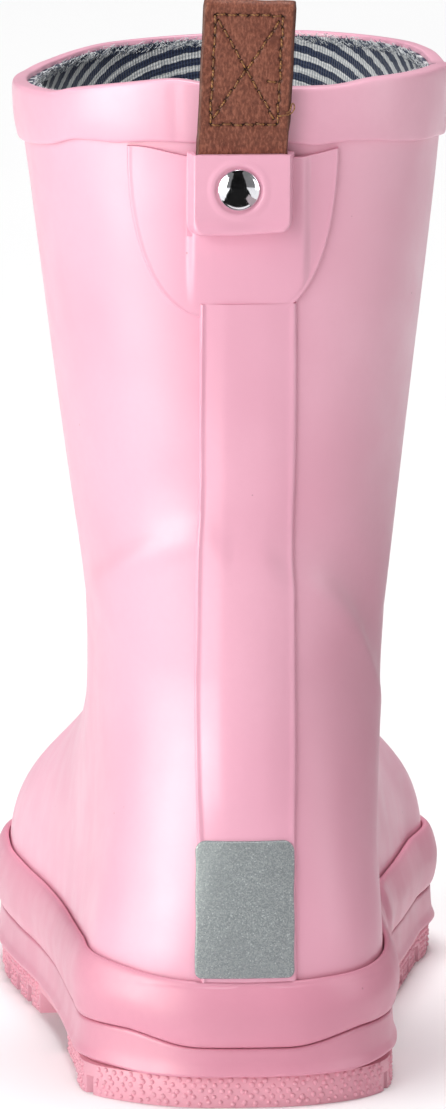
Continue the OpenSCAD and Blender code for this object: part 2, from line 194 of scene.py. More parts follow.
def edge_dense(n, power=1.7):
    """n numbers from -1 to 1, closer together at both ends."""
    t = np.linspace(-1, 1, n)
    return np.sign(t) * (1 - (1 - np.abs(t)) ** power)


def waves(t, seed, count=6, first=1):
    """A smooth uneven line round the boot, about -1 to 1, with period 1 in t."""
    rng = np.random.default_rng(seed)
    total = 0
    for k in range(first, first + count):
        total = total + rng.uniform(0.3, 1) * np.sin(TAU * (k * t + rng.uniform())) / k ** 0.5
    return total / count ** 0.5


# ---- the boot's surface

def outline(u):
    s = np.mod(u, 1) * len(PLAN)
    i = np.floor(s).astype(int)
    t = (s - i)[..., None]
    a, b, c, d = [PLAN[(i + k) % len(PLAN)] for k in (-1, 0, 1, 2)]
    return 0.5 * (2 * b + (c - a) * t + (2 * a - 5 * b + 4 * c - d) * t ** 2
                  + (3 * b - a - 3 * c + d) * t ** 3)


def oval(u, centre, width, depth, power, egg):
    side, back = np.sin(TAU * u), np.cos(TAU * u)
    return np.stack([centre[0] + width / 2 * signed_pow(side, 2 / power) * (1 + egg * back),
                     centre[1] - depth / 2 * signed_pow(back, 2 / power)], -1)


def toe_share(u):
    return (1 - np.cos(TAU * u)) / 2


def ankle_z(u):
    return mix(ANKLE_BACK, ANKLE_FRONT, toe_share(u))


def bezier(a, b, c, d, t):
    t = t[..., None]
    return (1 - t) ** 3 * a + 3 * (1 - t) ** 2 * t * b + 3 * (1 - t) * t * t * c + t ** 3 * d


def skin(u, v):
    """The upper's outer surface. u goes round the boot (0 heel, 0.25 inner side, 0.5
    toe). v goes up: below 0 millimetres down the wall, 0 to 1 the foot, 1 to 2 the shaft."""
    u, v = np.broadcast_arrays(np.asarray(u, float), np.asarray(v, float))
    f = toe_share(u)
    heel, toe = (1 - f) ** 2, f ** 3
    side = 1 - heel - toe
    level = lambda z: np.broadcast_to(z, u.shape)[..., None]
    plan = outline(u)
    foot = np.concatenate([plan, level(WALL_Z)], -1)
    ankle = np.concatenate([oval(u, *ANKLE_OVAL), ankle_z(u)[..., None]], -1)
    rim = np.concatenate([oval(u, *RIM_OVAL), level(SHELL_TOP)], -1)
    up = rim - ankle
    rise = 14 * heel + 6 * side + 32 * toe
    above_foot = foot + np.stack([0 * u, -1.5 * heel + 0.5 * toe, rise], -1)
    drop = (22 * heel + 42 * side + 52 * toe)[..., None]
    lean = up[..., :2] * FOOT_LEAN / up[..., 2:]
    below_ankle = ankle - np.concatenate([lean, np.ones_like(drop)], -1) * drop \
        + np.stack([0 * u, 14 * toe, 0 * u], -1)
    low = bezier(foot, above_foot, below_ankle, ankle, np.clip(v, 0, 1))
    t = np.clip(v - 1, 0, 1.2)
    high = bezier(ankle, *[ankle + share * up for share in SHAFT_EASE], rim, t)
    high[..., 2] = ankle[..., 2] + t * up[..., 2]
    wall = np.concatenate([plan, (WALL_Z + v)[..., None]], -1)
    return np.where((v < 0)[..., None], wall, np.where((v <= 1)[..., None], low, high)) - MID


def normal(u, v):
    u, v = np.broadcast_arrays(np.asarray(u, float), np.asarray(v, float))
    e = 0.002
    along = skin(u + e, v) - skin(u - e, v)
    back = np.where(v < e, 0, e)
    rise = np.where((v < 0)[..., None], np.array([0, 0, 1.0]), skin(u, v + e) - skin(u, v - back))
    return unit(np.cross(along, rise))


def v_at(u, z):
    """The v at a height z."""
    u, z = np.broadcast_arrays(np.asarray(u, float), np.asarray(z, float))
    low, high = np.zeros(u.shape), np.ones(u.shape)
    for _ in range(16):
        m = (low + high) / 2
        below = skin(u, m)[..., 2] < z
        low, high = np.where(below, m, low), np.where(below, high, m)
    top = ankle_z(u)
    return np.where(z <= WALL_Z, z - WALL_Z,
                    np.where(z < top, (low + high) / 2, 1 + (z - top) / (SHELL_TOP - top)))


def relief(p):
    """How far the moulded rubber stands off its plain form, in mm: the heel stiffener's
    arch showing through at the back, and the slow unevenness of a hand-laid upper."""
    x, y, z = p[..., 0] + MID[0] - BACK_X, p[..., 1], p[..., 2]
    back = smooth(-y, 42, 78)
    outer_side = 108 - 18 * np.abs(x / 29) ** 3.2
    inner_side = 99.5 - 17 * np.abs(x / 23.7) ** 3.5
    arch = mix(np.where(x < 0, outer_side, inner_side), 103.5, falling(np.abs(x), 2, 8))
    cup = 0.95 * falling(z, arch - 5, arch + 2.5) * smooth(z, 36, 66)
    fold = 0.35 * bell(z, arch - 2, 3.0) * smooth(np.abs(x), 6, 14)
    hollow = -0.35 * bell(z, arch + 8, 6)
    angle = turned_at(x, y)
    uneven = 0.22 * np.sin(TAU * (3 * angle + 0.1) + z / 21) * smooth(z, 60, 110)
    uneven = uneven + 0.12 * np.sin(TAU * (7 * angle + 0.4) - z / 33)
    return (back * (cup + fold + hollow) + uneven * falling(z, 165, 182)) * smooth(z, 27, 40)


# How far the rim and the collar's lower edge are off their plain heights, in mm, at places
# round the boot as from_heel gives them
RIM_LINE = [(-0.5, 0.0), (-0.43, -1.1), (-0.38, -2.8), (-0.33, -3.7), (-0.26, -3.5),
            (-0.21, -3.1), (-0.175, -2.9), (-0.13, -2.6), (-0.115, -1.6), (-0.09, -0.5),
            (-0.045, 1.4), (-0.034, 1.4), (-0.02, 0.4), (0.02, -0.1), (0.055, -0.1),
            (0.075, 0.9), (0.15, 1.2), (0.25, -0.6), (0.29, 0.4), (0.34, 0.9), (0.44, 0.9),
            (0.5, 0.0)]
EDGE_LINE = [(-0.5, -2.2), (-0.25, -3.3), (-0.2, -2.9), (-0.17, -2.4), (-0.135, -1.5),
             (-0.1, -0.5), (-0.06, 0.4), (-0.03, 0.3), (0.025, 0.3), (0.036, -0.6), (0.06, 0.1),
             (0.11, -0.3), (0.17, -1.7), (0.25, -3.4), (0.5, -2.2)]


def line_at(line, turned):
    """A height line round the boot, with its corners eased."""
    places, heights = np.array(line).T
    near = [np.interp(turned + step, places, heights, period=1.0) for step in (-0.006, 0, 0.006)]
    return sum(near) / 3


def lift_share(turned, z):
    """How much of the rim's line the rubber follows at a height: all of it at the rim,
    from lower down at the sides than at the back."""
    start = 180.5 - 40 * smooth(np.abs(turned), 0.07, 0.17)
    return smooth(z, start, 188.3)


def hand_made(p):
    """Moves points as the making did: the rim is uneven, and lowest on the outer side."""
    turned = turned_at(p[..., 0] + MID[0], p[..., 1])
    moved = p.copy()
    moved[..., 2] += line_at(RIM_LINE, turned) * lift_share(turned, p[..., 2])
    return moved


def on_skin(u, v, h):
    """Points at a distance h from the upper's surface."""
    base = skin(u, v)
    away = (np.asarray(h, float) + relief(base))[..., None]
    return hand_made(base + away * normal(u, v))


def at_height(u, z, h):
    return on_skin(u, v_at(u, z), h)


BACK_U = np.linspace(-0.24, 0.24, 481)


def back_u(x, z):
    """The u at distances x across the back. Each row of x lies at one height of z."""
    rows = []
    for row, height in zip(x, z[:, 0]):
        across = skin(BACK_U, v_at(BACK_U, height))[:, 0] + MID[0]
        rows.append(np.interp(row, across, BACK_U))
    return np.array(rows)


def on_back_skin(x, z, h):
    return at_height(back_u(x, z), z, h)


def back_line(z):
    """The shaft's point on the middle line of the back, at a height z."""
    return skin(0.0, 1 + (z - ANKLE_BACK) / (SHELL_TOP - ANKLE_BACK))


BACK_Y = back_line(RIVET_Z)[1]
_rise = skin(0.0, 2.0) - back_line(RIVET_Z - 8)
LEAN = math.atan2(-_rise[1], _rise[2])


def on_back(x, z, h):
    """A point of the flat frame that holds the keeper, the strap and the rivet."""
    x, z, h = np.broadcast_arrays(*[np.asarray(a, float) for a in (x, z, h)])
    up = z - RIVET_Z
    return np.stack([x - MID[0], BACK_Y - math.tan(LEAN) * up - h * math.cos(LEAN),
                     z - h * math.sin(LEAN)], -1)


# ---- meshes

def new_mesh(name, points, faces, sharp=math.radians(50)):
    mesh = bpy.data.meshes.new(name)
    mesh.from_pydata((np.asarray(points).reshape(-1, 3) * MM).tolist(), [],
                     [list(map(int, f)) for f in faces])
    mesh.update()
    mesh.shade_smooth()
    if sharp:
        mesh.set_sharp_from_angle(angle=sharp)
    return add_object(name, mesh)


def grid_quads(rows, cols, closed=False, start=0, flip=False):
    """Faces of a grid of points that are numbered along its rows."""
    span = cols if closed else cols - 1
    j, i = np.meshgrid(np.arange(rows - 1), np.arange(span), indexing="ij")
    k = (i + 1) % cols
    quads = np.stack([j * cols + i, j * cols + k, (j + 1) * cols + k, (j + 1) * cols + i], -1)
    quads = quads.reshape(-1, 4) + start
    return quads[:, ::-1] if flip else quads


def quilt(name, top, base, closed=False, floor=False, **options):
    """A solid between two grids of points: top is its outside, base its inside. A floor
    closes the first row of each grid with a face of its own."""
    rows, cols = top.shape[:2]
    n = rows * cols
    at = lambda side, j, i: side * n + j * cols + i % cols
    faces = [*grid_quads(rows, cols, closed), *grid_quads(rows, cols, closed, n, True)]
    span = range(cols if closed else cols - 1)
    if floor:
        faces += [[at(0, 0, i) for i in reversed(range(cols))],
                  [at(1, 0, i) for i in range(cols)]]
    else:
        faces += [(at(0, 0, i + 1), at(0, 0, i), at(1, 0, i), at(1, 0, i + 1)) for i in span]
    end = rows - 1
    faces += [(at(0, end, i), at(0, end, i + 1), at(1, end, i + 1), at(1, end, i)) for i in span]
    if not closed:
        for j in range(rows - 1):
            faces.append((at(0, j, 0), at(0, j + 1, 0), at(1, j + 1, 0), at(1, j, 0)))
            faces.append((at(0, j + 1, cols - 1), at(0, j, cols - 1),
                          at(1, j, cols - 1), at(1, j + 1, cols - 1)))
    points = np.concatenate([top.reshape(-1, 3), base.reshape(-1, 3)])
    return new_mesh(name, points, faces, **options)


def loops(name, rings, closed=True, **options):
    """A solid from cross sections, each a closed ring of points. closed joins the last
    ring to the first, and otherwise both ends get a face."""
    n, k = rings.shape[:2]
    faces = []
    for i in range(n if closed else n - 1):
        for j in range(k):
            a, b = i * k, (i + 1) % n * k
            faces.append((a + j, b + j, b + (j + 1) % k, a + (j + 1) % k))
    if not closed:
        faces += [list(range(k)), [(n - 1) * k + j for j in reversed(range(k))]]
    return new_mesh(name, rings.reshape(-1, 3), faces, **options)


def hoop(name, section, **options):
    """A band round the boot. section(u) is its closed cross section, rows of (z, h)."""
    u = np.arange(ROUND_N) / ROUND_N
    shape = corner_cut(section(u))
    return loops(name, at_height(u[:, None], shape[..., 0], shape[..., 1]), **options)


def profile(u, *rows):
    """Rows of (z, h) as one array for every u. A z or an h may be one number or many."""
    return np.stack([np.stack([z + 0 * u, h + 0 * u], -1) for z, h in rows], -2)


def attribute(obj, name, values):
    layer = obj.data.attributes.new(name, "FLOAT", "POINT")
    layer.data.foreach_set("value", np.asarray(values, np.float32).ravel())


def tubes(name, paths, radius, sides=6):
    """Thin round threads along paths of points, each closed at both ends. A radius may
    be one number, or one for each point of each path."""
    points, faces = [], []
    for n, path in enumerate(paths):
        path = np.asarray(path, float)
        size = np.broadcast_to(radius[n] if isinstance(radius, list) else radius, len(path))
        along = unit(np.gradient(path, axis=0))
        side = unit(np.cross(along, (0.31, 0.87, 0.38)))
        up = np.cross(along, side)
        turn = np.arange(sides) * TAU / sides
        ring = side[:, None] * np.cos(turn)[:, None] + up[:, None] * np.sin(turn)[:, None]
        start = sum(len(p) for p in points)
        points.append((path[:, None] + ring * size[:, None, None]).reshape(-1, 3))
        faces += grid_quads(len(path), sides, True, start).tolist()
        faces += [[start + k for k in reversed(range(sides))],
                  [start + (len(path) - 1) * sides + k for k in range(sides)]]
    return new_mesh(name, np.concatenate(points), faces, sharp=None)


def domes(name, places, outward, size, height):
    """Small round bumps on a wall: flat closed domes, sunk a little into it."""
    sides, levels, sunk = 8, (0.0, 0.38, 0.72), 0.12
    up = np.array([0, 0, 1.0])
    points, faces = [], []
    for place, out, r, h in zip(places, outward, size, height):
        start = len(points)
        along = np.cross(up, out)
        for level in levels:
            for k in range(sides):
                a = TAU * k / sides
                ring = along * math.cos(a) + np.cross(out, along) * math.sin(a)
                points.append(place + ring * r * math.sqrt(1 - level ** 2)
                              + out * (h * level - sunk))
        points.append(place + out * (h - sunk))
        faces += grid_quads(len(levels), sides, True, start).tolist()
        top = start + len(levels) * sides
        ring = top - sides
        faces += [(ring + k, ring + (k + 1) % sides, top) for k in range(sides)]
        faces.append([start + k for k in reversed(range(sides))])
    return new_mesh(name, np.array(points), faces, sharp=None)


def evaluated(obj):
    """Applies the object's modifiers to its mesh."""
    bpy.context.view_layer.update()
    graph = bpy.context.evaluated_depsgraph_get()
    shape = bpy.data.meshes.new_from_object(obj.evaluated_get(graph))
    obj.modifiers.clear()
    obj.data = shape


def box_solid(x0, x1, y0, y1, z0, z1):
    plan = ((x0, y0), (x1, y0), (x1, y1), (x0, y1))
    corners = [(x, y, z) for z in (z0, z1) for x, y in plan]
    faces = [(3, 2, 1, 0), (4, 5, 6, 7), (0, 1, 5, 4), (1, 2, 6, 5), (2, 3, 7, 6), (3, 0, 4, 7)]
    return corners, faces


def moulded_block(name, plan, height, cuts, bevel=0.45):
    """A slab with that plan, less boxes across it, with every edge rounded off."""
    n = len(plan)
    low = np.column_stack([plan, np.zeros(n)])
    high = low + (0, 0, height)
    sides = [(i, (i + 1) % n, n + (i + 1) % n, n + i) for i in range(n)]
    block = new_mesh(name, np.concatenate([low, high]),
                     [list(range(n))[::-1], list(range(n, 2 * n)), *sides])
    points, faces = [], []
    for y0, y1, z1 in cuts:
        corners, quads = box_solid(-120, 120, y0 - MID[1], y1 - MID[1], -2, z1)
        faces += [[len(points) + k for k in q] for q in quads]
        points += corners
    cutter = new_mesh(name + "_cutter", np.array(points), faces, sharp=None)
    cut = block.modifiers.new("channels", "BOOLEAN")
    cut.operation, cut.solver, cut.object = "DIFFERENCE", "EXACT", cutter
    soft = block.modifiers.new("edges", "BEVEL")
    soft.width, soft.segments, soft.limit_method = bevel * MM, 2, "ANGLE"
    soft.angle_limit = math.radians(40)
    evaluated(block)
    bpy.data.objects.remove(cutter)
    block.data.shade_smooth()
    block.data.set_sharp_from_angle(angle=math.radians(35))
    return block


# ---- materials

def colour(r, g, b):
    """An sRGB colour, 0 to 255, as the linear colour that a shader takes."""
    return (*[c / 255 / 12.92 if c <= 10 else ((c / 255 + 0.055) / 1.055) ** 2.4
              for c in (r, g, b)], 1)


class Finish:
    """A procedural material under construction. Its textures lie in the object's own
    space, in metres, so a scale of 1000 has detail about a millimetre across."""

    def __init__(self, name, base, roughness, **shader):
        self.material = bpy.data.materials.new(name)
        self.material.use_nodes = True
        self.tree = self.material.node_tree
        self.shader = self.tree.nodes["Principled BSDF"]
        self.shader.inputs["Base Color"].default_value = base
        self.shader.inputs["Roughness"].default_value = roughness
        for key, value in shader.items():
            self.shader.inputs[key.replace("_", " ")].default_value = value
        self.material.diffuse_color = base
        self.place = self.node("ShaderNodeTexCoord").outputs["Object"]
        self.bumps = None

    def node(self, kind, sockets=None, **settings):
        made = self.tree.nodes.new(kind)
        for key, value in settings.items():
            setattr(made, key, value)
        for key, value in (sockets or {}).items():
            if isinstance(value, bpy.types.NodeSocket):
                self.tree.links.new(value, made.inputs[key])
            else:
                made.inputs[key].default_value = value
        return made

    def scaled(self, x, y, z):
        sockets = {"Vector": self.place, "Scale": (x, y, z)}
        return self.node("ShaderNodeMapping", sockets).outputs[0]

    def noise(self, scale, detail=2.0, where=None):
        sockets = {"Vector": where or self.place, "Scale": scale, "Detail": detail}
        return self.node("ShaderNodeTexNoise", sockets).outputs["Fac"]

    def cells(self, scale, feature="F1", output="Distance"):
        return self.node("ShaderNodeTexVoronoi", {"Vector": self.place, "Scale": scale},
                         feature=feature).outputs[output]

    def maths(self, operation, a, b=0.0):
        return self.node("ShaderNodeMath", {0: a, 1: b}, operation=operation).outputs[0]

    def spread(self, value, low, high, to_low=0.0, to_high=1.0):
        sockets = {0: value, 1: low, 2: high, 3: to_low, 4: to_high}
        return self.node("ShaderNodeMapRange", sockets,
                         interpolation_type="SMOOTHSTEP").outputs[0]

    def read(self, name):
        return self.node("ShaderNodeAttribute", attribute_name=name).outputs["Fac"]

    def blend(self, factor, a, b):
        return self.node("ShaderNodeMix", {0: factor, 6: a, 7: b}, data_type="RGBA").outputs[2]

    def wash(self, tone, other, value, low, high, share=1.0):
        """A tone that goes over to another as a value goes from low to high."""
        return self.blend(self.spread(value, low, high, 0.0, share), tone, other)

    def bump(self, height, distance, strength=1.0):
        """Adds relief of that many millimetres from a height of 0 to 1."""
        sockets = {"Height": height, "Distance": distance * MM, "Strength": strength}
        if self.bumps is not None:
            sockets["Normal"] = self.bumps
        self.bumps = self.node("ShaderNodeBump", sockets).outputs[0]
        self.tree.links.new(self.bumps, self.shader.inputs["Normal"])

    def paint(self, key, socket):
        self.tree.links.new(socket, self.shader.inputs[key])


def rubber(name, base, deep, roughness=0.43, grain=1.0, coat=0.35):
    """Satin moulded rubber: slow changes of tone, a fine orange peel and a few specks."""
    f = Finish(name, base, roughness, Coat_Weight=coat, Coat_Roughness=0.38,
               Specular_IOR_Level=0.45)
    tone = f.wash(base, deep, f.noise(26), 0.35, 0.7)
    tone = f.wash(tone, deep, f.noise(700, 3), 0.3, 0.75, 0.16)
    specks = f.spread(f.cells(190), 0.035, 0.05, 0.42, 0.0)
    few = f.spread(f.noise(60, 0), 0.63, 0.66)
    tone = f.blend(f.maths("MULTIPLY", specks, few), tone, colour(150, 82, 96))
    f.paint("Base Color", tone)
    f.paint("Roughness", f.spread(f.noise(140, 3), 0.3, 0.7, roughness - 0.05, roughness + 0.08))
    f.bump(f.noise(1500), 0.02 * grain, 0.5)
    f.bump(f.noise(160), 0.07 * grain, 0.5)
    f.bump(f.noise(38, 1), 0.3 * grain, 0.35)
    return f.material


def leather(name):
    """Brown grained leather, darker towards its cut edges, with painted shade nearly black in its
    needle holes.
    """
    base, deep, light = colour(124, 70, 54), colour(94, 51, 40), colour(150, 92, 72)
    f = Finish(name, base, 0.6, Specular_IOR_Level=0.3)
    tone = f.wash(base, light, f.noise(120, 3), 0.3, 0.7, 0.35)
    tone = f.wash(tone, deep, f.noise(2200, 3), 0.45, 0.7, 0.6)
    fibres = f.noise(2600, 3, f.scaled(1, 1, 0.45))
    tone = f.wash(tone, light, fibres, 0.5, 0.66, 0.85)
    tone = f.wash(tone, deep, fibres, 0.5, 0.34, 0.6)
    tone = f.blend(f.read("edge"), tone, colour(78, 44, 36))
    # Painted shade: the needle holes are painted nearly black.
    tone = f.blend(f.read("hole"), tone, colour(28, 16, 14))
    f.paint("Base Color", tone)
    f.paint("Roughness", f.spread(f.noise(500), 0.3, 0.7, 0.46, 0.66))
    f.bump(f.cells(1300, feature="DISTANCE_TO_EDGE"), 0.08, 0.8)
    f.bump(f.noise(2600, 3), 0.05, 0.7)
    f.bump(f.noise(240), 0.15, 0.5)
    return f.material


def thread(name):
    f = Finish(name, colour(150, 98, 50), 0.6)
    twist = f.node("ShaderNodeTexWave", {"Vector": f.place, "Scale": 900.0, "Distortion": 1.0},
                   bands_direction="DIAGONAL").outputs["Fac"]
    # Painted light on the twist: its ridges are painted lighter as painted highlight and its
    # grooves darker as painted shade.
    tone = f.blend(twist, colour(104, 62, 32), colour(176, 122, 64))
    f.paint("Base Color", f.wash(tone, colour(120, 74, 40), f.noise(800), 0.35, 0.7))
    f.bump(twist, 0.06, 0.8)
    return f.material


STRIPE_PITCH, RIB_PITCH, COURSE_PITCH = 2.6, 0.6, 0.75


def knit(name):
    """Striped lining: navy and off-white courses with fine upright ribs. The ribs' crests are
    painted lighter and their grooves darker, as painted shade over a random yarn tone.
    """
    navy, navy_light = colour(34, 42, 68), colour(58, 70, 98)
    white, grey = colour(248, 248, 246), colour(190, 195, 199)
    f = Finish(name, navy, 0.9, Sheen_Weight=0.25, Sheen_Roughness=0.5, Specular_IOR_Level=0.2)
    fuzz = f.noise(900, 3)
    height = f.maths("ADD", f.read("height"), f.spread(f.noise(300), 0.3, 0.7, -0.1, 0.1))
    course = f.maths("ADD", height, f.spread(fuzz, 0.3, 0.7, -0.1, 0.1))
    stripe = f.maths("SINE", f.maths("MULTIPLY", course, TAU / STRIPE_PITCH))
    rib = f.maths("SINE", f.maths("MULTIPLY", f.read("round"), TAU / RIB_PITCH))
    rib01 = f.spread(rib, -1, 1)
    # Painted shade of the ribs: dark in the grooves and light on the crests, multiplied by a random
    # yarn tone.
    yarn_and_rib_shade = f.maths("MULTIPLY", rib01, fuzz)
    dark = f.wash(navy, navy_light, yarn_and_rib_shade, 0.12, 0.5)
    pale = f.wash(grey, white, yarn_and_rib_shade, 0.15, 0.42)
    tone = f.wash(dark, pale, stripe, 0.0, 0.4)
    courses = f.maths("SINE", f.maths("MULTIPLY", f.read("height"), TAU / COURSE_PITCH))
    f.paint("Base Color", f.wash(tone, colour(110, 118, 132), courses, 0.2, 1, 0.16))
    f.bump(rib01, 0.16, 0.9)
    f.bump(f.spread(courses, -1, 1), 0.06, 0.7)
    f.bump(fuzz, 0.12, 0.7)
    return f.material


def fibre(name):
    f = Finish(name, colour(150, 156, 168), 0.95, Sheen_Weight=0.3, Specular_IOR_Level=0.2)
    tone = f.wash(colour(70, 82, 108), colour(240, 242, 243), f.read("pale"), 0.45, 0.55)
    tone = f.wash(tone, colour(150, 158, 172), f.noise(600), 0.3, 0.7, 0.3)
    f.paint("Base Color", tone)
    f.bump(f.noise(2500), 0.05, 0.6)
    return f.material


def chrome(name, roughness=0.07):
    f = Finish(name, colour(226, 226, 230), roughness, Metallic=1.0)
    scratches = f.noise(2600, 3, f.scaled(1, 1, 0.12))
    f.paint("Roughness", f.spread(scratches, 0.45, 0.75, roughness, roughness + 0.12))
    f.paint("Base Color", f.wash(colour(228, 228, 232), colour(178, 178, 184),
                                 f.noise(500), 0.35, 0.7, 0.3))
    f.bump(scratches, 0.004, 0.4)
    f.bump(f.noise(420, 1), 0.03, 0.35)
    return f.material


def reflective(name):
    """Grey retro-reflective film: tiny glass beads, each a slightly different grey, with a few
    painted lighter as glints (painted highlights).
    """
    f = Finish(name, colour(146, 152, 153), 0.5, Metallic=0.2, Specular_IOR_Level=0.5)
    beads = 4600
    glint = f.node("ShaderNodeSeparateColor", {"Color": f.cells(beads, output="Color")}).outputs
    tone = f.wash(colour(136, 143, 145), colour(160, 166, 167), glint["Red"], 0.1, 0.95)
    # Painted glints: the few beads whose green is over 0.93 are painted a lighter grey.
    tone = f.wash(tone, colour(186, 192, 193), glint["Green"], 0.93, 1.0)
    tone = f.wash(tone, colour(138, 145, 147), f.noise(70, 3), 0.35, 0.75, 0.35)
    f.paint("Base Color", tone)
    f.paint("Roughness", f.spread(glint["Blue"], 0, 1, 0.4, 0.65))
    f.bump(f.cells(beads), 0.03, 0.5)
    f.bump(f.noise(90), 0.12, 0.5)
    return f.material


def foam(name, base, deep, scale=1500):
    f = Finish(name, base, 0.95, Specular_IOR_Level=0.2)
    pores = f.cells(scale)
    # Painted shade in the pores: each cell is painted darker at its middle, where the bump sinks a
    # pit.
    tone = f.wash(deep, base, pores, 0.15, 0.6)
    f.paint("Base Color", f.wash(tone, deep, f.noise(50), 0.35, 0.7, 0.5))
    f.bump(pores, 0.14, 0.8)
    return f.material


def board(name, base, deep):
    """Pressed fibre: short strands lying every way."""
    f = Finish(name, base, 0.85, Specular_IOR_Level=0.25)
    strands = f.noise(500, 4, f.scaled(1, 0.3, 1))
    f.paint("Base Color", f.wash(base, deep, strands, 0.35, 0.7))
    f.bump(strands, 0.1, 0.7)
    f.bump(f.noise(1800), 0.04, 0.6)
    return f.material


PINK = rubber("pink_rubber", colour(240, 179, 199), colour(234, 169, 190))
COLLAR_PINK = rubber("collar_rubber", colour(239, 177, 197), colour(231, 165, 187), 0.4)
PATCH_PINK = rubber("patch_rubber", colour(240, 177, 198), colour(234, 168, 190), 0.4)
FOXING_PINK = rubber("foxing_rubber", colour(221, 149, 170), colour(211, 138, 160), 0.46, 1.2)
SOLE_PINK = rubber("sole_rubber", colour(232, 168, 183), colour(220, 154, 171), 0.5, 1.6, 0.08)
LEATHER = leather("tab_leather")
THREAD = thread("tab_thread")
KNIT = knit("lining_knit")
FIBRE = fibre("lining_fibre")
CHROME = chrome("rivet_chrome")
STEEL = chrome("steel", 0.3)
REFLECTIVE = reflective("reflective_film")
FOAM = foam("white_foam", colour(236, 230, 216), colour(214, 204, 184))
INSOLE = foam("footbed_cover", colour(196, 200, 208), colour(150, 158, 172), 900)
BOARD = board("fibreboard", colour(186, 158, 122), colour(148, 118, 84))
STIFFENER = board("stiffener", colour(222, 206, 176), colour(190, 170, 136))


def piece(obj, material, body="boot", nodes=()):
    """Finishes a new piece: its material, the body it rides on and what it stands for."""
    obj.data.materials.clear()
    obj.data.materials.append(material)
    if nodes:
        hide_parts(*nodes)
    if body:
        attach(obj, body)
    return obj


# ---- upper and lining

def rim_taper(v):
    """How much thinner the rubber is just under the rim."""
    return RIM_THIN * smooth(v, 1.9, 1.98)


def make_upper():
    u = np.arange(ROUND_N) / ROUND_N
    v = np.concatenate([np.linspace(SOLE_H + 0.1 - WALL_Z, -0.5, 5), np.linspace(0, 1, 56),
                        np.linspace(1, 2, 76)[1:]])[:, None]
    upper = quilt("rubber_upper", on_skin(u, v, 0.0), on_skin(u, v, -RUBBER + rim_taper(v)),
                  closed=True)
    piece(upper, PINK, nodes=["upper_shell"])


def lining_h(v):
    """The lining leaves room for the stiffeners in the foot and lies on the shaft."""
    return -RUBBER - GAP - 0.95 * (1 - np.clip((v - 0.9) / 0.4, 0, 1)) + rim_taper(v)


SOCK_Z = 11.95
LINING_TOP = 187.8


def stripe_drop(u):
    """The knit's courses are highest at the front and fall towards the back, in mm."""
    from_front = (0.5 - u) * GIRTH
    return 40 * np.tanh(0.0055 * (from_front - 6) ** 2 / 40)


def make_lining():
    n = 480
    u = np.arange(n) / n
    v = np.concatenate([[SOCK_Z - WALL_Z], np.linspace(0, 1, 44),
                        np.linspace(1, v_at(0.0, LINING_TOP), 70)[1:]])[:, None]
    inner_v = v.copy()
    inner_v[0] += LINING
    h = lining_h(v)
    ripple = 0.07 * waves(u * 9, 11, 5, 3)
    lining = quilt("knit_lining", on_skin(u, v, h + 0 * u),
                   on_skin(u, inner_v, h - LINING + ripple), closed=True, floor=True)
    points = on_skin(u, inner_v, h - LINING + 0 * u)
    nominal = skin(u, inner_v)[..., 2] + stripe_drop(u) + 0.25 * waves(u, 5, 5, 2)
    steps = np.linalg.norm(np.diff(points[-1], axis=0, append=points[-1][:1]), axis=1)
    around = np.broadcast_to(np.cumsum(steps), nominal.shape)
    attribute(lining, "height", np.concatenate([nominal, nominal]))
    attribute(lining, "round", np.concatenate([around, around]))
    return piece(lining, KNIT, nodes=["lining"])


def make_raw_edge():
    """The cut edge of the knit under the collar: loops and loose fibre ends."""
    rng = np.random.default_rng(7)
    paths, sizes, pale = [], [], []
    count, steps, sides = 2200, 5, 4
    for k in range(count):
        u = (k + rng.uniform(-0.5, 0.5)) / count
        z = LINING_TOP + rng.uniform(-1.7, 0.0)
        slope, bend = rng.uniform(-1.0, 1.0, 2)
        length = rng.uniform(0.5, 1.6)
        t = np.linspace(0, 1, steps)
        side = (slope * t + bend * t * t) * length / GIRTH
        off = 0.25 + rng.uniform(0, 0.45)
        h = -RUBBER - GAP + RIM_THIN - LINING + 0.05 - off * np.sin(t * 2.4)
        height = np.minimum(z + length * (t - 0.45 * t * t), RIM_Z - 0.1)
        paths.append(at_height(u + side, height, h))
        sizes.append(0.085 * (1 - 0.55 * t))
        pale += [rng.uniform() > 0.3] * (steps * sides)
    edge = tubes("lining_raw_edge", paths, sizes, sides)
    attribute(edge, "pale", np.array(pale, float))
    return piece(edge, FIBRE)


def make_collar():
    """The band folded over the rim, with the folds of its overlap beside the tab."""
    def section(u):
        turned = from_heel(u)
        lower = COLLAR_Z + line_at(EDGE_LINE, turned) + 0.1 * waves(u, 21, 5, 4)
        lower = lower - line_at(RIM_LINE, turned) * lift_share(turned, lower)
        belly = GAP + 1.05 + 0.06 * waves(u, 22, 8, 3)
        belly = belly + 0.22 * smooth(turned, 0.0335, 0.036) * falling(turned, 0.036, 0.06)
        belly = belly - 0.2 * bell(turned, -0.043, 0.003) - 0.16 * bell(turned, 0.047, 0.002)
        inner = -RUBBER - GAP + RIM_THIN
        return profile(
            u, (lower, GAP), (lower - 0.05, belly - 0.5), (lower + 0.2, belly - 0.12),
            (lower + 0.8, belly), (lower + 4, belly + 0.25), (RIM_Z - 2.5, belly + 0.1),
            (RIM_Z - 0.8, belly - 0.05), (RIM_Z - 0.1, belly * 0.7), (RIM_Z, 0.2),
            (RIM_Z, inner + 0.6), (RIM_Z - 0.15, inner + 0.15), (RIM_Z - 0.7, inner + 0.05),
            (SHELL_TOP + GAP, inner + 0.05), (SHELL_TOP + GAP, GAP))
    piece(hoop("collar", section), COLLAR_PINK, nodes=["collar_band"])


# ---- foxing

def foxing_top(u):
    """Upper edge of the foxing: low at the heel, high on the outer side."""
    heel = np.cos(math.pi * u) ** 10
    outer = bell(np.mod(u, 1), 0.86, 0.07)
    return 25.8 - 2.4 * heel + 1.6 * outer + 0.15 * waves(u, 31, 6, 2)


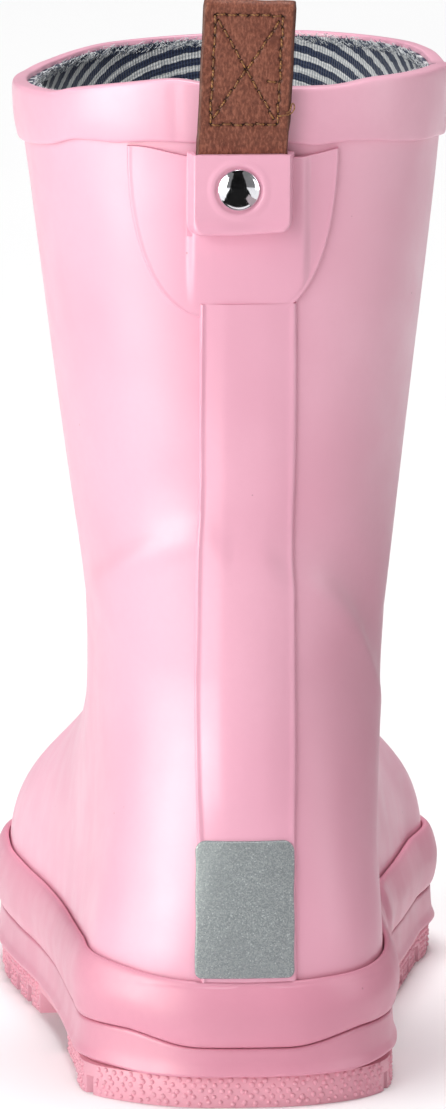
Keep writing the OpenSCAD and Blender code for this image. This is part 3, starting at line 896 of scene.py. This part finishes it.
def tier_line(u):
    """Height between the two tiers of the foxing, which sags at the back of the heel."""
    sag = 2.5 * smooth(np.abs(from_heel(u)), 0.03, 0.09)
    return FOXING_Z + sag + 0.25 * waves(u, 32, 5, 2)


SPLICE_U = 0.262                    # where the ends of the foxing overlap, inner waist


def overlap(u):
    """1 on the covering end of the foxing's splice, falling slowly behind it."""
    turned = np.mod(u, 1) - SPLICE_U
    return smooth(turned, -0.0035, 0.0) * falling(turned, 0.0, 0.045)


def make_foxing():
    def upper_section(u):
        top = foxing_top(u) + 1.1 * overlap(u)
        low = tier_line(u)
        m = top - low
        out = 0.7 * overlap(u) + 0.1 * waves(u, 33, 7, 2)
        return profile(
            u, (low, GAP), (low, 1.5), (low + 0.35, 2.05 + out), (low + 1.4, 2.55 + out),
            (low + m * 0.33, 3.1 + out), (low + m * 0.55, 3.2 + out), (low + m * 0.78, 2.6 + out),
            (low + m * 0.92, 1.95 + out), (top - 0.25, 1.5 + out), (top, 1.15 + out),
            (top + 0.05, 0.75), (top - 0.3, GAP))

    def lower_section(u):
        z0 = SOLE_H + 0.1
        top = tier_line(u) - 0.1
        out = 0.1 * waves(u, 34, 6, 2)
        lip = z0 + 0.9 * smooth(np.abs(from_heel(u)), 0.06, 0.12)
        return profile(
            u, (z0, GAP), (z0, 1.0), (lip, 2.0 + out), (lip + 0.1, 2.55 + out),
            (lip + 0.5, 2.75 + out), (lip + 1.1, 2.5 + out), (lip + 2.4, 2.0 + out),
            (top - 1.4, 1.85 + out), (top - 0.4, 1.85 + out), (top, 1.45), (top, GAP))

    for name, section, node in (("foxing_bulge", upper_section, "foxing_upper"),
                                ("foxing_edge", lower_section, "foxing_lower")):
        piece(hoop(name, section), FOXING_PINK, nodes=[node])


# ---- sole

HEEL_CORNER = 1.4                   # how much squarer the heel block is than the upper


def corner_share(u):
    """1 at the two back corners of the heel."""
    return bell(np.abs(from_heel(u)), 0.115, 0.035)


def sole_outline(out, corner=0.0, count=420):
    u = np.arange(count) / count
    return on_skin(u, -1.0 + 0 * u, out + corner * corner_share(u))[:, :2]


HEEL_FRONT, TREAD_START, LUG_PITCH, CHANNEL_W, LUGS_N = 58.0, 97.0, 12.0, 3.6, 9
HEEL_OUT, SOLE_OUT = 0.9, 1.2
BREAST_R = 38                       # radius of the hollow in the heel's front face

# Where each lug starts and ends, from the back of the heel
HEEL_LUGS = [(-9, 17.0), (17.0 + 2.4, 32.0), (32.0 + 2.4, HEEL_FRONT)]
FORE_LUGS = [(TREAD_START + k * LUG_PITCH, TREAD_START + (k + 1) * LUG_PITCH - CHANNEL_W)
             for k in range(LUGS_N)]


def channels(lugs):
    """The cuts between lugs: start, end and depth."""
    return [(a[1], b[0], LUG_H) for a, b in zip(lugs, lugs[1:])]


def clip_plan(plan, y, keep_above):
    """The part of a plan on one side of a line across the boot."""
    kept = []
    for a, b in zip(plan, np.roll(plan, -1, axis=0)):
        if (a[1] > y) == keep_above:
            kept.append(a)
        if (a[1] > y) != (b[1] > y):
            kept.append(mix(a, b, (y - a[1]) / (b[1] - a[1])))
    return np.array(kept)


def make_sole():
    plan = clip_plan(sole_outline(HEEL_OUT, HEEL_CORNER), HEEL_FRONT - MID[1], False)
    front = np.abs(plan[:, 1] - (HEEL_FRONT - MID[1])) < 1e-6
    right, left = sorted(plan[front].tolist(), reverse=True)
    x = np.linspace(right[0], left[0], 60)[1:-1]
    reach = np.clip(BREAST_R ** 2 - (x - BACK_X + MID[0]) ** 2, 0, None)
    y = np.minimum(HEEL_FRONT, HEEL_FRONT - 4 + BREAST_R - np.sqrt(reach)) - MID[1]
    first = int(np.nonzero(front)[0][0])
    plan = np.concatenate([plan[:first + 1], np.stack([x, y], 1), plan[first + 1:]])
    heel = moulded_block("heel", plan, SOLE_H, channels(HEEL_LUGS))
    piece(heel, SOLE_PINK, nodes=["heel_block"])

    plan = clip_plan(sole_outline(SOLE_OUT), HEEL_FRONT + 2 - MID[1], True)
    cuts = [(HEEL_FRONT, TREAD_START, SOLE_H - 1.6), *channels(FORE_LUGS)]
    fore = moulded_block("fore_sole", plan, SOLE_H, cuts)
    piece(fore, SOLE_PINK, nodes=["outsole_forepart"])


def make_dots():
    """Raised dots on the side walls of the sole, in uneven rows."""
    rng = np.random.default_rng(12)
    for name, out, corner, lugs in (("heel_dots", HEEL_OUT, HEEL_CORNER, HEEL_LUGS),
                                    ("fore_dots", SOLE_OUT, 0.0, FORE_LUGS)):
        u = np.linspace(0, 1, 4001)[:-1]
        line = on_skin(u, -1.0 + 0 * u, out + corner * corner_share(u))
        side = unit(np.cross(np.gradient(line, axis=0), (0, 0, 1)))
        arc = np.concatenate([[0], np.cumsum(np.linalg.norm(np.diff(line, axis=0), axis=1))])
        places, outward, sizes, heights = [], [], [], []
        for row, z in enumerate((0.85, 1.95, 3.05, 4.15, 5.2)):
            for s in np.arange(row % 2 * 1.0, arc[-1], 2.0):
                at = np.searchsorted(arc, s + rng.uniform(-0.35, 0.35)) % len(u)
                height = z + rng.uniform(-0.2, 0.2)
                y = line[at, 1] + MID[1]
                on_lug = any(a + 0.9 < y < b - 0.9 for a, b in lugs)
                spare = name == "fore_dots" and height > LUG_H + 0.6 and y > TREAD_START + 1
                if on_lug or spare:
                    places.append((*line[at, :2], height))
                    outward.append(side[at])
                    sizes.append(rng.uniform(0.42, 0.6))
                    heights.append(rng.uniform(0.46, 0.6))
        piece(domes(name, np.array(places), np.array(outward), sizes, heights),
              SOLE_PINK)


# ---- strip, patch, keeper

def rounded_half(z, low, high, half, r_low, r_high):
    """Half the width of an upright plate with round corners, at each height."""
    inset = np.zeros_like(z)
    for edge, r in ((z - low, r_low), (high - z, r_high)):
        d = np.clip(edge, 0, r)
        inset = np.maximum(inset, r - np.sqrt(np.maximum(r * r - (r - d) ** 2, 0)))
    return half - inset


def rounded_edge(distance, radius):
    """0 at the edge of a plate and 1 from one radius inside it, as a quarter circle."""
    t = np.clip(distance / radius, 0, 1)
    return np.sqrt(1 - (1 - t) ** 2)


def facets(x, z):
    """The strip's soft lengthwise planes, over the middle of the back."""
    tent = np.interp(x, [-8.2, -3.2, 4.0, 9.4], [0, 0.85, 0.55, 0])
    softer = np.interp(x, [-8.2, -3.8, 4.6, 9.4], [0, 0.72, 0.42, 0])
    return (tent + softer) / 2 * smooth(z, 50, 58) * (1 - 0.4 * smooth(z, 120, 150))


def make_stay():
    low, high = foxing_top(0.0) - 1.2, PATCH_LOW + 3
    z = np.linspace(low, high, 150)[:, None]
    f = edge_dense(61)
    wander = 0.12 * np.sin(z / 9.0) + 0.1 * np.sin(z / 23.0 + 1)
    x = STAY_X + wander + f * (STAY_HALF + 0 * z)
    inside = STAY_HALF * (1 - np.abs(f))
    bead = 0.45 * bell(x, STAY_X - STAY_HALF + 0.7, 0.36)
    bead = bead + 0.16 * bell(x, STAY_X + STAY_HALF - 0.75, 0.5)
    h = GAP - 0.05 + 0.8 * rounded_edge(inside, 0.7) + bead + facets(x, z)
    z = z + 0 * x
    stay = quilt("back_strip", on_back_skin(x, z, h), on_back_skin(x, z, 0 * h - 0.1))
    piece(stay, PATCH_PINK, nodes=["back_stay"])


def make_reflector():
    low, high = 24.3, 48.9
    z = mix(low, high, (edge_dense(70, 1.4) + 1) / 2)[:, None]
    half = rounded_half(z, low, high, half=8.6, r_low=1.3, r_high=1.9)
    f = edge_dense(61, 1.4)
    x = 0.25 + f * half + 0.7 * (1 - (z - low) / (high - low)) * np.minimum(f, 0)
    x = x + 0.06 * np.sin(z * 0.6) * f ** 8
    z = z + 0.12 * np.sin(x * 0.9 + 1) * ((z - low) / (high - low))
    level = z[:, :1] + 0 * x
    inside = np.minimum(half * (1 - np.abs(f)), np.minimum(level - low, high - level))
    h = GAP + 1.05 + 0.3 * rounded_edge(inside, 0.35) + 0.04 * np.sin(x * 0.8) * np.sin(level * 0.5)
    film = quilt("reflector", on_back_skin(x, level, h),
                 on_back_skin(x, level, 0 * h + GAP + 0.5))
    piece(film, REFLECTIVE, nodes=["heel_reflector"])


def make_patch():
    """The U-shaped patch. The strip's edges show through it, and its rim is raised."""
    t = np.concatenate([np.linspace(0.03, 1, 46) ** 2.2 * 0.35, np.linspace(0.35, 0.995, 56)[1:]])
    t[0] = 0.0006
    t = t[:, None]
    half = PATCH_HALF * (1 - (1 - t) ** 2) ** 0.32
    f = edge_dense(121, 1.5)
    x = PATCH_X + f * half
    z = PATCH_LOW + t * PATCH_H + 0 * x
    below = PATCH_H * t + 0 * x
    beside = half * (1 - np.abs(f))
    inside = np.minimum(beside * smooth(t, 0.0, 0.12) + below * 0.55, beside + 0.05)
    inside = np.minimum(inside, below * 0.9)
    through = smooth(x, -10.4, -8.7) * falling(x, 9.9, 11.9)
    through = through * smooth(z, PATCH_LOW + 1, PATCH_LOW + 12)
    rim = 0.16 * bell(inside, 0.55, 0.4)
    h = GAP - 0.1 + 0.85 * rounded_edge(inside, 0.7) + rim + 1.15 * through * smooth(inside, 0.2, 2)
    z = z - 1.7 * smooth(t, 0.8, 1) * falling(np.abs(x - 0.5), 9, 20)
    patch = quilt("back_patch_piece", on_back_skin(x, z, h), on_back_skin(x, z, 0 * h - 0.15))
    piece(patch, PATCH_PINK, nodes=["back_patch"])


def make_keeper():
    """The moulded tongue over the strap: a front with a rolled lower lip, sides that run
    out a little at their foot, and a ring sunk round the rivet. Its pocket is open at
    the top."""
    low = KEEPER_TOP - KEEPER_H
    flare_out, flare_in, flare_low = 0.5, 0.6, 0.5
    x = np.interp(edge_dense(121, 1.25), [-1, 1],
                  [-KEEPER_HALF - flare_out, KEEPER_HALF + flare_in])
    z = mix(low - flare_low, KEEPER_TOP, np.linspace(0, 1, 101) ** 0.85)[:, None]
    x = x + 0 * z
    z = z + 0 * x
    corner = 2.2
    across = np.abs(x) - (KEEPER_HALF - corner)
    down = (low + corner + 0.5 * smooth(x, -2, 8)) - z
    outside = np.hypot(np.maximum(across, 0), np.maximum(down, 0)) \
        + np.minimum(np.maximum(across, down), 0) - corner
    reach = mix(np.where(x > 0, flare_in, flare_out), flare_low, smooth(down - across, -1.5, 1.5))
    wall = falling(outside, -0.6, reach)
    lip = 0.5 * bell(z, low + 1.2, 1.4) * falling(outside, -1.2, 0)
    bow = 0.25 * (1 - (x / KEEPER_HALF) ** 2) * smooth(z, low, low + 8)
    from_rivet = np.hypot(x + KEEPER_X - RIVET_X, z - RIVET_Z)
    sunk = -0.5 * falling(from_rivet, RIVET_R + 0.15, RIVET_R + 0.75)
    swell = 0.16 * bell(from_rivet, RIVET_R + 1.2, 0.6)
    base = 0.95
    front = KEEPER_FRONT - 0.15 + bow + lip + sunk + swell
    h = base + (front - base) * wall
    at = KEEPER_X + x
    pocket = falling(np.abs(x), TAB_HALF + 0.05, TAB_HALF + 0.3) * smooth(z, low + 2.3, low + 2.6)
    under = np.minimum(mix(0.6, LEATHER_H + 2 * LEATHER_T + 0.12, pocket), h - 0.05)
    dip = 0.35 * smooth(np.abs(x), 7, 10.5) * smooth(z, KEEPER_TOP - 4, KEEPER_TOP)
    top, base = [hand_made(on_back(at, z - dip, side)) for side in (h, under)]
    piece(quilt("keeper", top, base), PATCH_PINK, nodes=["tab_keeper"])


# ---- leather tab

BOX_HALF, BOX_LOW, BOX_HIGH = 6.1, 3.5, 23.4     # seam box, up from the hinge
STITCH_PITCH, STITCH_L = 2.05, 1.5
STRAP_LOW = -12.6                                # lower end of the strap, in the keeper


def strap_x(y):
    """Middle line of the strap, which leans to the inner side above the keeper."""
    return KEEPER_X + 0.15 + TAB_SLANT * np.maximum(np.asarray(y, float), -2)


def strap_place(x, y, h):
    return hand_made(on_back(strap_x(y) + x, HINGE_Z + np.asarray(y) * math.cos(LEAN), h))


def seam_runs():
    """Starts and ends of the seam's straight runs: the box, its cross and the end tack."""
    a, b = (-BOX_HALF, BOX_LOW), (BOX_HALF, BOX_LOW)
    c, d = (BOX_HALF, BOX_HIGH), (-BOX_HALF, BOX_HIGH)
    corners = a, b, c, d = [np.array(p) for p in (a, b, c, d)]
    inset = 0.04
    cross = [(mix(p, q, inset), mix(p, q, 1 - inset)) for p, q in ((a, c), (b, d))]
    tack = (np.array((3.4, 11.6)), np.array((BOX_HALF, 11.3)))
    return [*zip(corners, (b, c, d, a)), *cross, tack]


def stitch_spots():
    """Start and end of each stitch, in the plane of the strap."""
    rng = np.random.default_rng(3)
    spots = []
    for start, end in seam_runs():
        run = np.linalg.norm(end - start)
        n = max(1, round(run / STITCH_PITCH))
        along = (end - start) / run
        across = np.array((-along[1], along[0]))
        for k in range(n):
            centre = mix(start, end, (k + 0.5) / n) + across * rng.uniform(-0.12, 0.12)
            slant = along + across * rng.uniform(-0.1, 0.1)
            spots.append((centre - slant * STITCH_L / 2, centre + slant * STITCH_L / 2))
    return spots


def make_strap():
    """One strip of leather, folded over at the top, so both of its layers are one."""
    height = (TAB_TOP - LEATHER_T - HINGE_Z) / math.cos(LEAN)
    step = 0.22
    level = np.concatenate([np.linspace(STRAP_LOW, 0, 18), np.arange(step, height, step), [height]])
    turn = np.linspace(0, math.pi, 15)[1:-1]
    half_t = LEATHER_T / 2
    front, back = LEATHER_H + 1.5 * LEATHER_T, LEATHER_H + half_t
    # Middle line of the strip: up the front layer, round the fold and down the back layer
    y = np.concatenate([level, height + half_t * np.sin(turn), level[::-1]])
    h = np.concatenate([0 * level + front, (front + back) / 2 + half_t * np.cos(turn),
                        0 * level + back])
    face = np.concatenate([0 * level, turn, 0 * level + math.pi])
    layer = smooth(face, 0, math.pi)
    across = np.arange(-TAB_HALF, TAB_HALF + step / 2, step)
    inside = TAB_HALF - np.abs(across)
    thick = half_t * (0.45 + 0.55 * rounded_edge(inside, 0.45)) * 0.97
    ring = lambda front, back: np.concatenate([front, back[::-1]])
    x = ring(across, across)[None] + 0 * y[:, None]
    out = ring(thick, -thick)[None] + 0 * x
    holes = np.zeros_like(x)
    press = np.zeros_like(x)
    for start, end in stitch_spots():
        for spot in (start, end):
            far = np.hypot(x - spot[0], y[:, None] - spot[1])
            holes = np.maximum(holes, np.exp(-(far / 0.26) ** 2))
            press = np.maximum(press, np.exp(-(far / 0.9) ** 2))
    outer = (out > 0) & (np.abs(x) < TAB_HALF - 0.5)
    holes, press = holes * outer, press * outer
    wave = 0.06 * np.sin(x * 0.9 + y[:, None] * 0.35) + 0.05 * np.sin(y[:, None] * 0.8)
    out = out - 0.34 * holes - 0.1 * press + wave * outer
    flat_y = y[:, None] + np.sin(face)[:, None] * out
    flat_h = h[:, None] + np.cos(face)[:, None] * out
    slip = BACK_SLIP * layer[:, None] * smooth(y[:, None], 0, 5)
    uneven = 0.03 * np.sin(y * 0.6)[:, None] * np.sign(x) * smooth(np.abs(x), 6, 8.3)
    strap = loops("leather_strap", strap_place(x + slip + uneven, flat_y, flat_h), closed=False,
                  sharp=math.radians(60))
    edge = np.clip(1.15 - np.minimum(ring(inside, inside), 0.9) / 0.45, 0, 0.85)
    attribute(strap, "edge", np.broadcast_to(edge, x.shape))
    # Mask of the needle holes, where the leather is painted nearly black as shade.
    attribute(strap, "hole", smooth(holes, 0.12, 0.6))
    piece(strap, LEATHER, body=None, nodes=["pull_tab", "pull_tab_root"])
    start, end = [on_back(KEEPER_X, z, LEATHER_H + LEATHER_T) * MM for z in (BEND_LOW, BEND_HIGH)]
    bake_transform(strap)


def make_stitches():
    paths = []
    t = np.linspace(0, 1, 9)
    arch = np.sin(math.pi * t) ** 0.6
    for start, end in stitch_spots():
        line = mix(start, end, t[:, None])
        for face, h in ((1, LEATHER_H + 2 * LEATHER_T), (-1, LEATHER_H)):
            shift = BACK_SLIP if face < 0 else 0
            sunk = face * (0.3 * arch - 0.24)
            paths.append(strap_place(line[:, 0] + shift, line[:, 1], h + sunk))
    # The loose loop of thread at the inner edge, with its tail lying on the leather
    loop = np.array([
        (6.1, 5.0, 0.0), (6.8, 5.2, 0.3), (7.7, 5.3, 0.45), (8.5, 5.6, 0.4), (9.0, 6.2, 0.2),
        (9.05, 7.0, 0.0), (8.75, 7.5, -0.1), (8.45, 7.2, 0.0), (8.4, 6.5, 0.2),
        (8.2, 5.9, 0.4), (7.6, 5.75, 0.5)])
    curve = resampled(loop, 50)
    ease(curve, 6)
    thin = [0.165 * (0.7 + 0.3 * arch) for _ in paths] + [np.full(len(curve), 0.13)]
    paths.append(strap_place(curve[:, 0], curve[:, 1], LEATHER_H + 2 * LEATHER_T + curve[:, 2]))
    stitches = tubes("tab_stitches", paths, thin, 8)
    piece(stitches, THREAD, body="tab", nodes=["tab_thread"])


# ---- rivet and footbed

def make_rivet():
    """A domed cap with a rolled rim, turned from its outline."""
    outline_rz = np.array([
        (0.0, 1.72), (0.9, 1.66), (1.8, 1.48), (2.5, 1.22), (3.1, 0.86), (3.45, 0.58),
        (3.72, 0.42), (3.82, 0.2), (3.78, -0.05), (3.6, -0.25), (2.4, -0.3)])
    dome, rows, n = 9, 60, 96
    line = np.concatenate([resampled(outline_rz[:dome], rows), outline_rz[dome:]])
    ease(line[:rows - 1], 12)
    r, h = line[line[:, 0] > 0.02].T
    a = np.arange(n) * TAU / n
    base = KEEPER_FRONT - 0.25
    rings = on_back(RIVET_X + r[:, None] * np.cos(a),
                    RIVET_Z + r[:, None] * np.sin(a) * math.cos(LEAN), base + h[:, None] + 0 * a)
    crown = on_back(RIVET_X, RIVET_Z, base + outline_rz[0, 1])
    count = len(r)
    faces = grid_quads(count, n, True, flip=True).tolist()
    faces += [(k, (k + 1) % n, count * n) for k in range(n)]
    faces.append([(count - 1) * n + k for k in reversed(range(n))])
    points = np.concatenate([rings.reshape(-1, 3), crown[None]])
    cap = new_mesh("rivet_dome", hand_made(points), faces, sharp=math.radians(60))
    piece(cap, CHROME, nodes=["rivet_cap"])


def make_footbed():
    """The loose foam footbed: rolled edges, a shallow heel cup and a low arch."""
    low, thick = 13.3, 4.5
    stiffener, room = 0.8, 1.15
    edge = sole_outline(-(RUBBER + stiffener + LINING + 2 * GAP + room), count=240)
    # Its rings grow from a line along its middle to its edge
    along = np.clip((edge[:, 1] + 78) / 150, 0, 1)
    spine = np.stack([mix(-4.3, 0.8, smooth(along, 0.3, 1)), mix(-72.0, 66.0, along)], 1)
    rings = np.concatenate([np.linspace(0.03, 0.9, 12), [0.95, 0.98, 1.0]])[:, None, None]
    plan = spine + (edge - spine) * rings
    away = np.linalg.norm((edge - spine) * (1 - rings), axis=-1)
    cup = -0.9 * smooth(away, 2, 12) * bell(plan[..., 1], -70, 32)
    arch = -0.5 * smooth(away, 2, 14) * bell(plan[..., 1], 30, 40)
    top = low + thick - 1.3 * (1 - rounded_edge(away, 1.6)) + cup + arch
    bottom = low + 0.6 * (1 - rounded_edge(away, 0.8))
    under, over = [np.concatenate([plan, z[..., None]], -1) for z in (bottom, top)]
    bed = quilt("footbed_pad", under, over, closed=True, floor=True, sharp=None)
    return piece(bed, INSOLE, body="footbed", nodes=["footbed"])


make_upper()
lining = make_lining()
raw_edge = make_raw_edge()
make_collar()
make_foxing()
make_sole()
make_dots()
make_stay()
make_reflector()
make_patch()
make_keeper()
make_strap()
make_stitches()
make_rivet()
footbed = make_footbed()


for node, material in {"sole_filler": FOAM, "shank": STEEL, "insole_board": BOARD,
                       "heel_counter": STIFFENER, "toe_puff": STIFFENER,
                       "rivet_post": STEEL, "rivet_back": STEEL}.items():
    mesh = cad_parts[node].data
    mesh.materials.clear()
    mesh.materials.append(material)


# ---- studio

CENTRE = (0, 0, 0.1)                # middle of the boot, in metres
PALE, PALE_COOL = (0.95, 0.95, 0.95, 1), (0.93, 0.93, 0.935, 1)
BLACK, GREY = (0.012, 0.012, 0.012, 1), (0.4, 0.34, 0.35, 1)


def add_floor():
    reach = 6000
    corners = [(-reach, -reach, 0), (reach, -reach, 0), (reach, reach, 0), (-reach, reach, 0)]
    floor = new_mesh("floor", corners, [(0, 1, 2, 3)], sharp=None)
    f = Finish("pale_floor", PALE, 0.75, Specular_IOR_Level=0.1)
    f.paint("Base Color", f.blend(f.noise(3), PALE, PALE_COOL))
    floor.data.materials.append(f.material)


def add_softbox(name, place, size, watts, aim=CENTRE, tint=(1, 1, 1), diffuse=True, glossy=True):
    data = bpy.data.lights.new(name, "AREA")
    data.shape, data.energy, data.color = "RECTANGLE", watts, tint
    data.size, data.size_y = size
    light = add_object(name, data)
    light.visible_diffuse, light.visible_glossy = diffuse, glossy
    point_at(light, place, aim)


def add_sheet(name, shade, corners, faces):
    """A dull sheet that the camera doesn't see and that throws no shadow. Corners in m."""
    sheet = new_mesh(name, np.array(corners) / MM, faces, sharp=None)
    sheet.data.materials.append(Finish(name, shade, 1.0, Specular_IOR_Level=0.0).material)
    sheet.visible_camera = sheet.visible_shadow = False
    return sheet


def add_cards():
    """A dark card on the floor before the boot, up behind the camera and over it. Only
    reflections see it: it darkens the rivet's middle and keeps the rubber's back from a
    flat white haze. A low grey one keeps the floor's light off the shaded inner side."""
    card = add_sheet("dark_card", BLACK, [
        (-0.16, -0.125, 0.008), (0.16, -0.125, 0.008), (1.2, -2.6, 0.01), (-1.2, -2.6, 0.01),
        (1.2, -2.6, 2.4), (-1.2, -2.6, 2.4), (0.5, -0.9, 2.4), (-0.5, -0.9, 2.4)],
        [(0, 1, 2, 3), (3, 2, 4, 5), (5, 4, 6, 7)])
    card.visible_diffuse = False
    add_sheet("grey_flag", GREY, [
        (0.1, -0.3, 0.004), (0.1, 0.15, 0.004), (0.13, 0.15, 0.075), (0.13, -0.3, 0.075)],
        [(0, 1, 2, 3)])


def add_light():
    world = bpy.data.worlds.new("studio")
    bpy.context.scene.world = world
    world.use_nodes = True
    sky = world.node_tree.nodes["Background"].inputs
    sky["Color"].default_value = (1, 0.995, 0.99, 1)
    sky["Strength"].default_value = 0.24
    overhead = bpy.data.lights.new("overhead", "SUN")
    overhead.energy, overhead.angle = 2.5, math.radians(30)
    add_object("overhead", overhead)
    add_softbox("key", (-1.6, -0.85, 0.6), (1.3, 1.7), 13)
    add_softbox("front", (-0.95, -1.6, 0.7), (0.7, 1.2), 12, glossy=False)
    add_softbox("sheen", (-0.5, -0.26, 0.15), (0.5, 0.55), 4.7, tint=(1, 1, 0.84), diffuse=False)
    add_softbox("rim", (0.5, -0.2, 0.3), (0.2, 0.45), 1.0, aim=(0, 0, 0.16), diffuse=False)


add_cards()
add_floor()
add_light()
bpy.context.scene.view_settings.view_transform = "Standard"
